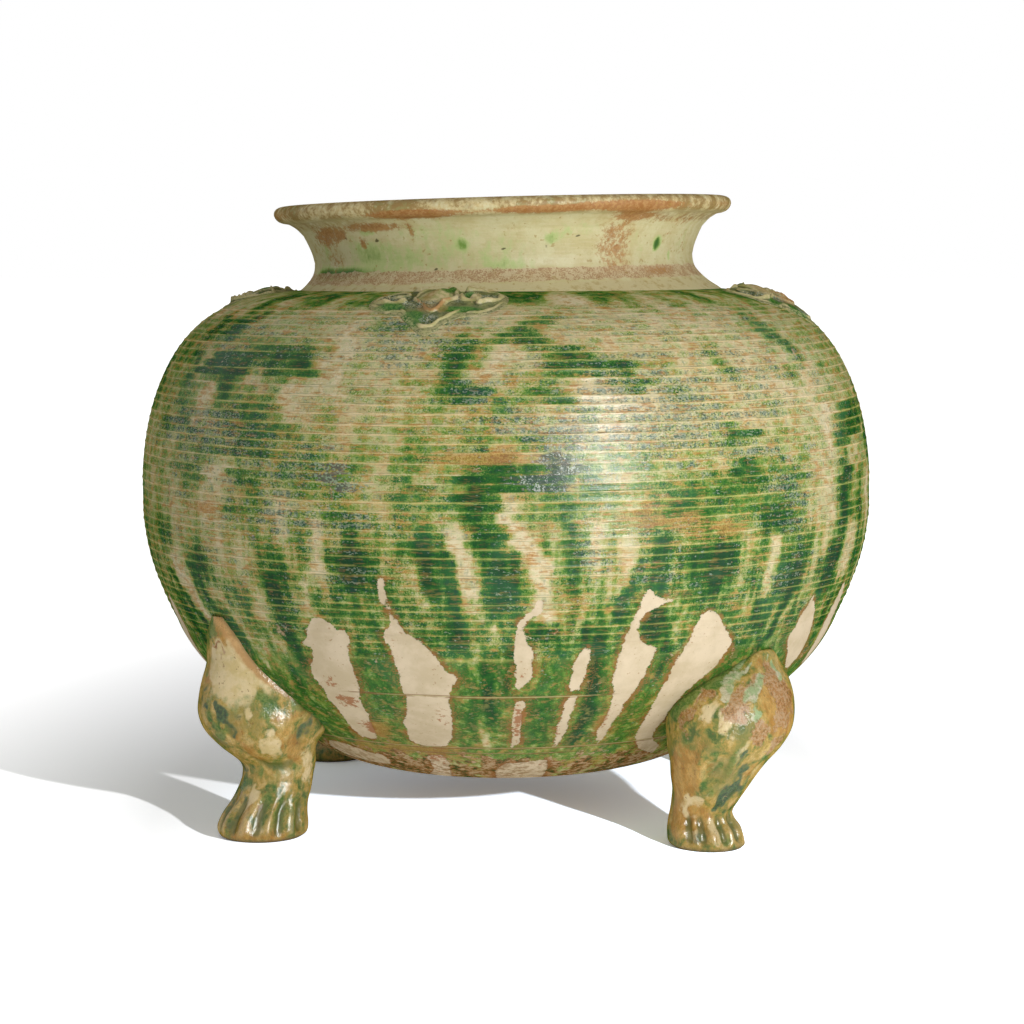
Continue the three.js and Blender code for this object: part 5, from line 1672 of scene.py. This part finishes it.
def add_lamp(name, place, width, height, power, lit, only_shine=False):
    """A lamp that faces the jar and lights only the given objects."""
    lamp = bpy.data.lights.new(name, "AREA")
    lamp.shape = "ELLIPSE" if width == height else "RECTANGLE"
    lamp.size = width
    lamp.size_y = height
    lamp.energy = power
    holder = bpy.data.objects.new(name, lamp)
    holder.location = place
    aim = Vector(LIT_PLACE) - Vector(place)
    holder.rotation_euler = aim.to_track_quat("-Z", "Y").to_euler()
    holder.visible_camera = False
    holder.visible_diffuse = not only_shine
    bpy.context.scene.collection.objects.link(holder)
    group = bpy.data.collections.new(name + "_lights")
    for piece in lit:
        group.objects.link(piece)
    holder.light_linking.receiver_collection = group


def build_floor():
    """A white floor, which burns out to pure white for the camera and keeps the jar's shadow, with painted
    light and shade round the jar in its colour for the camera.
    """
    bpy.ops.mesh.primitive_plane_add(size=FLOOR_SIZE)
    floor = bpy.context.object
    floor.name = "floor"
    g = Glaze("white_paper")
    g.tree.nodes.remove(g.shader)
    camera_ray = g.node("LightPath").outputs["Is Camera Ray"]
    away = g.node("VectorMath", g.stretch((1, DEPTH_SHARE, 1)), operation="LENGTH").outputs["Value"]
    # The floor's camera colour paints light under the jar and shade beside it, and fades the shadow out
    # towards the far white
    painted_floor_light = g.mix(g.step(away, UNDER_REACH, BESIDE_REACH), FLOOR_LIT_UNDER, FLOOR_SHADED_BESIDE)
    far = g.node("MapRange", away, BESIDE_REACH, FAR_REACH).outputs["Result"]
    painted_floor_light = g.mix(far, painted_floor_light, FLOOR_FAR)
    matt = g.node("BsdfDiffuse", g.mix(camera_ray, FLOOR_WHITE, painted_floor_light))
    veil = g.node("Emission")
    g.feed(veil.inputs["Strength"], g.times(camera_ray, FLOOR_VEIL))
    both = g.node("AddShader", matt.outputs[0], veil.outputs[0])
    g.feed(g.tree.nodes["Material Output"].inputs["Surface"], both.outputs[0])
    floor.data.materials.append(g.material)
    return floor


def build_room():
    """A plain white room, at full white for the camera and in reflections."""
    world = bpy.data.worlds.new("white_room")
    world.use_nodes = True
    nodes, links = world.node_tree.nodes, world.node_tree.links
    room = nodes["Background"]
    room.inputs["Color"].default_value = (1, 1, 1, 1)
    path = nodes.new("ShaderNodeLightPath")
    shown = path.outputs["Is Camera Ray"]
    for kind in ("Is Glossy Ray", "Is Transmission Ray"):
        either = nodes.new("ShaderNodeMath")
        either.operation = "MAXIMUM"
        links.new(shown, either.inputs[0])
        links.new(path.outputs[kind], either.inputs[1])
        shown = either.outputs[0]
    strength = nodes.new("ShaderNodeMix")
    strength.inputs[2].default_value = ROOM_STRENGTH
    strength.inputs[3].default_value = 1
    links.new(shown, strength.inputs[0])
    links.new(strength.outputs[0], room.inputs["Strength"])
    bpy.context.scene.world = world


bpy.context.scene.view_settings.view_transform = "Standard"
build_camera()
build_room()
pieces = [build_body(splashed_glaze()), build_neck(neck_glaze())]
FOOT_GLAZE = foot_glaze()
for foot_name, (foot_azimuth, foot_clefts, foot_mould) in FEET.items():
    pieces.append(build_foot(foot_name, FOOT_GLAZE, foot_azimuth, foot_clefts, foot_mould))
SPRIG_GLAZE = sprig_glaze()
for number, sprig_azimuth in enumerate(SPRIG_AZIMUTHS, 1):
    pieces.append(build_sprig(f"shoulder_sprig_{number}", sprig_azimuth, SPRIG_GLAZE))
add_lamp("window", WINDOW_PLACE, WINDOW_WIDTH, WINDOW_TALL, WINDOW_POWER, pieces)
add_lamp("window_shine", WINDOW_PLACE, SHINE_WIDTH, SHINE_TALL, SHINE_POWER, pieces, only_shine=True)
add_lamp("bright_spot", SPOT_PLACE, SPOT_WIDTH, SPOT_WIDTH, SPOT_POWER, [build_floor()])
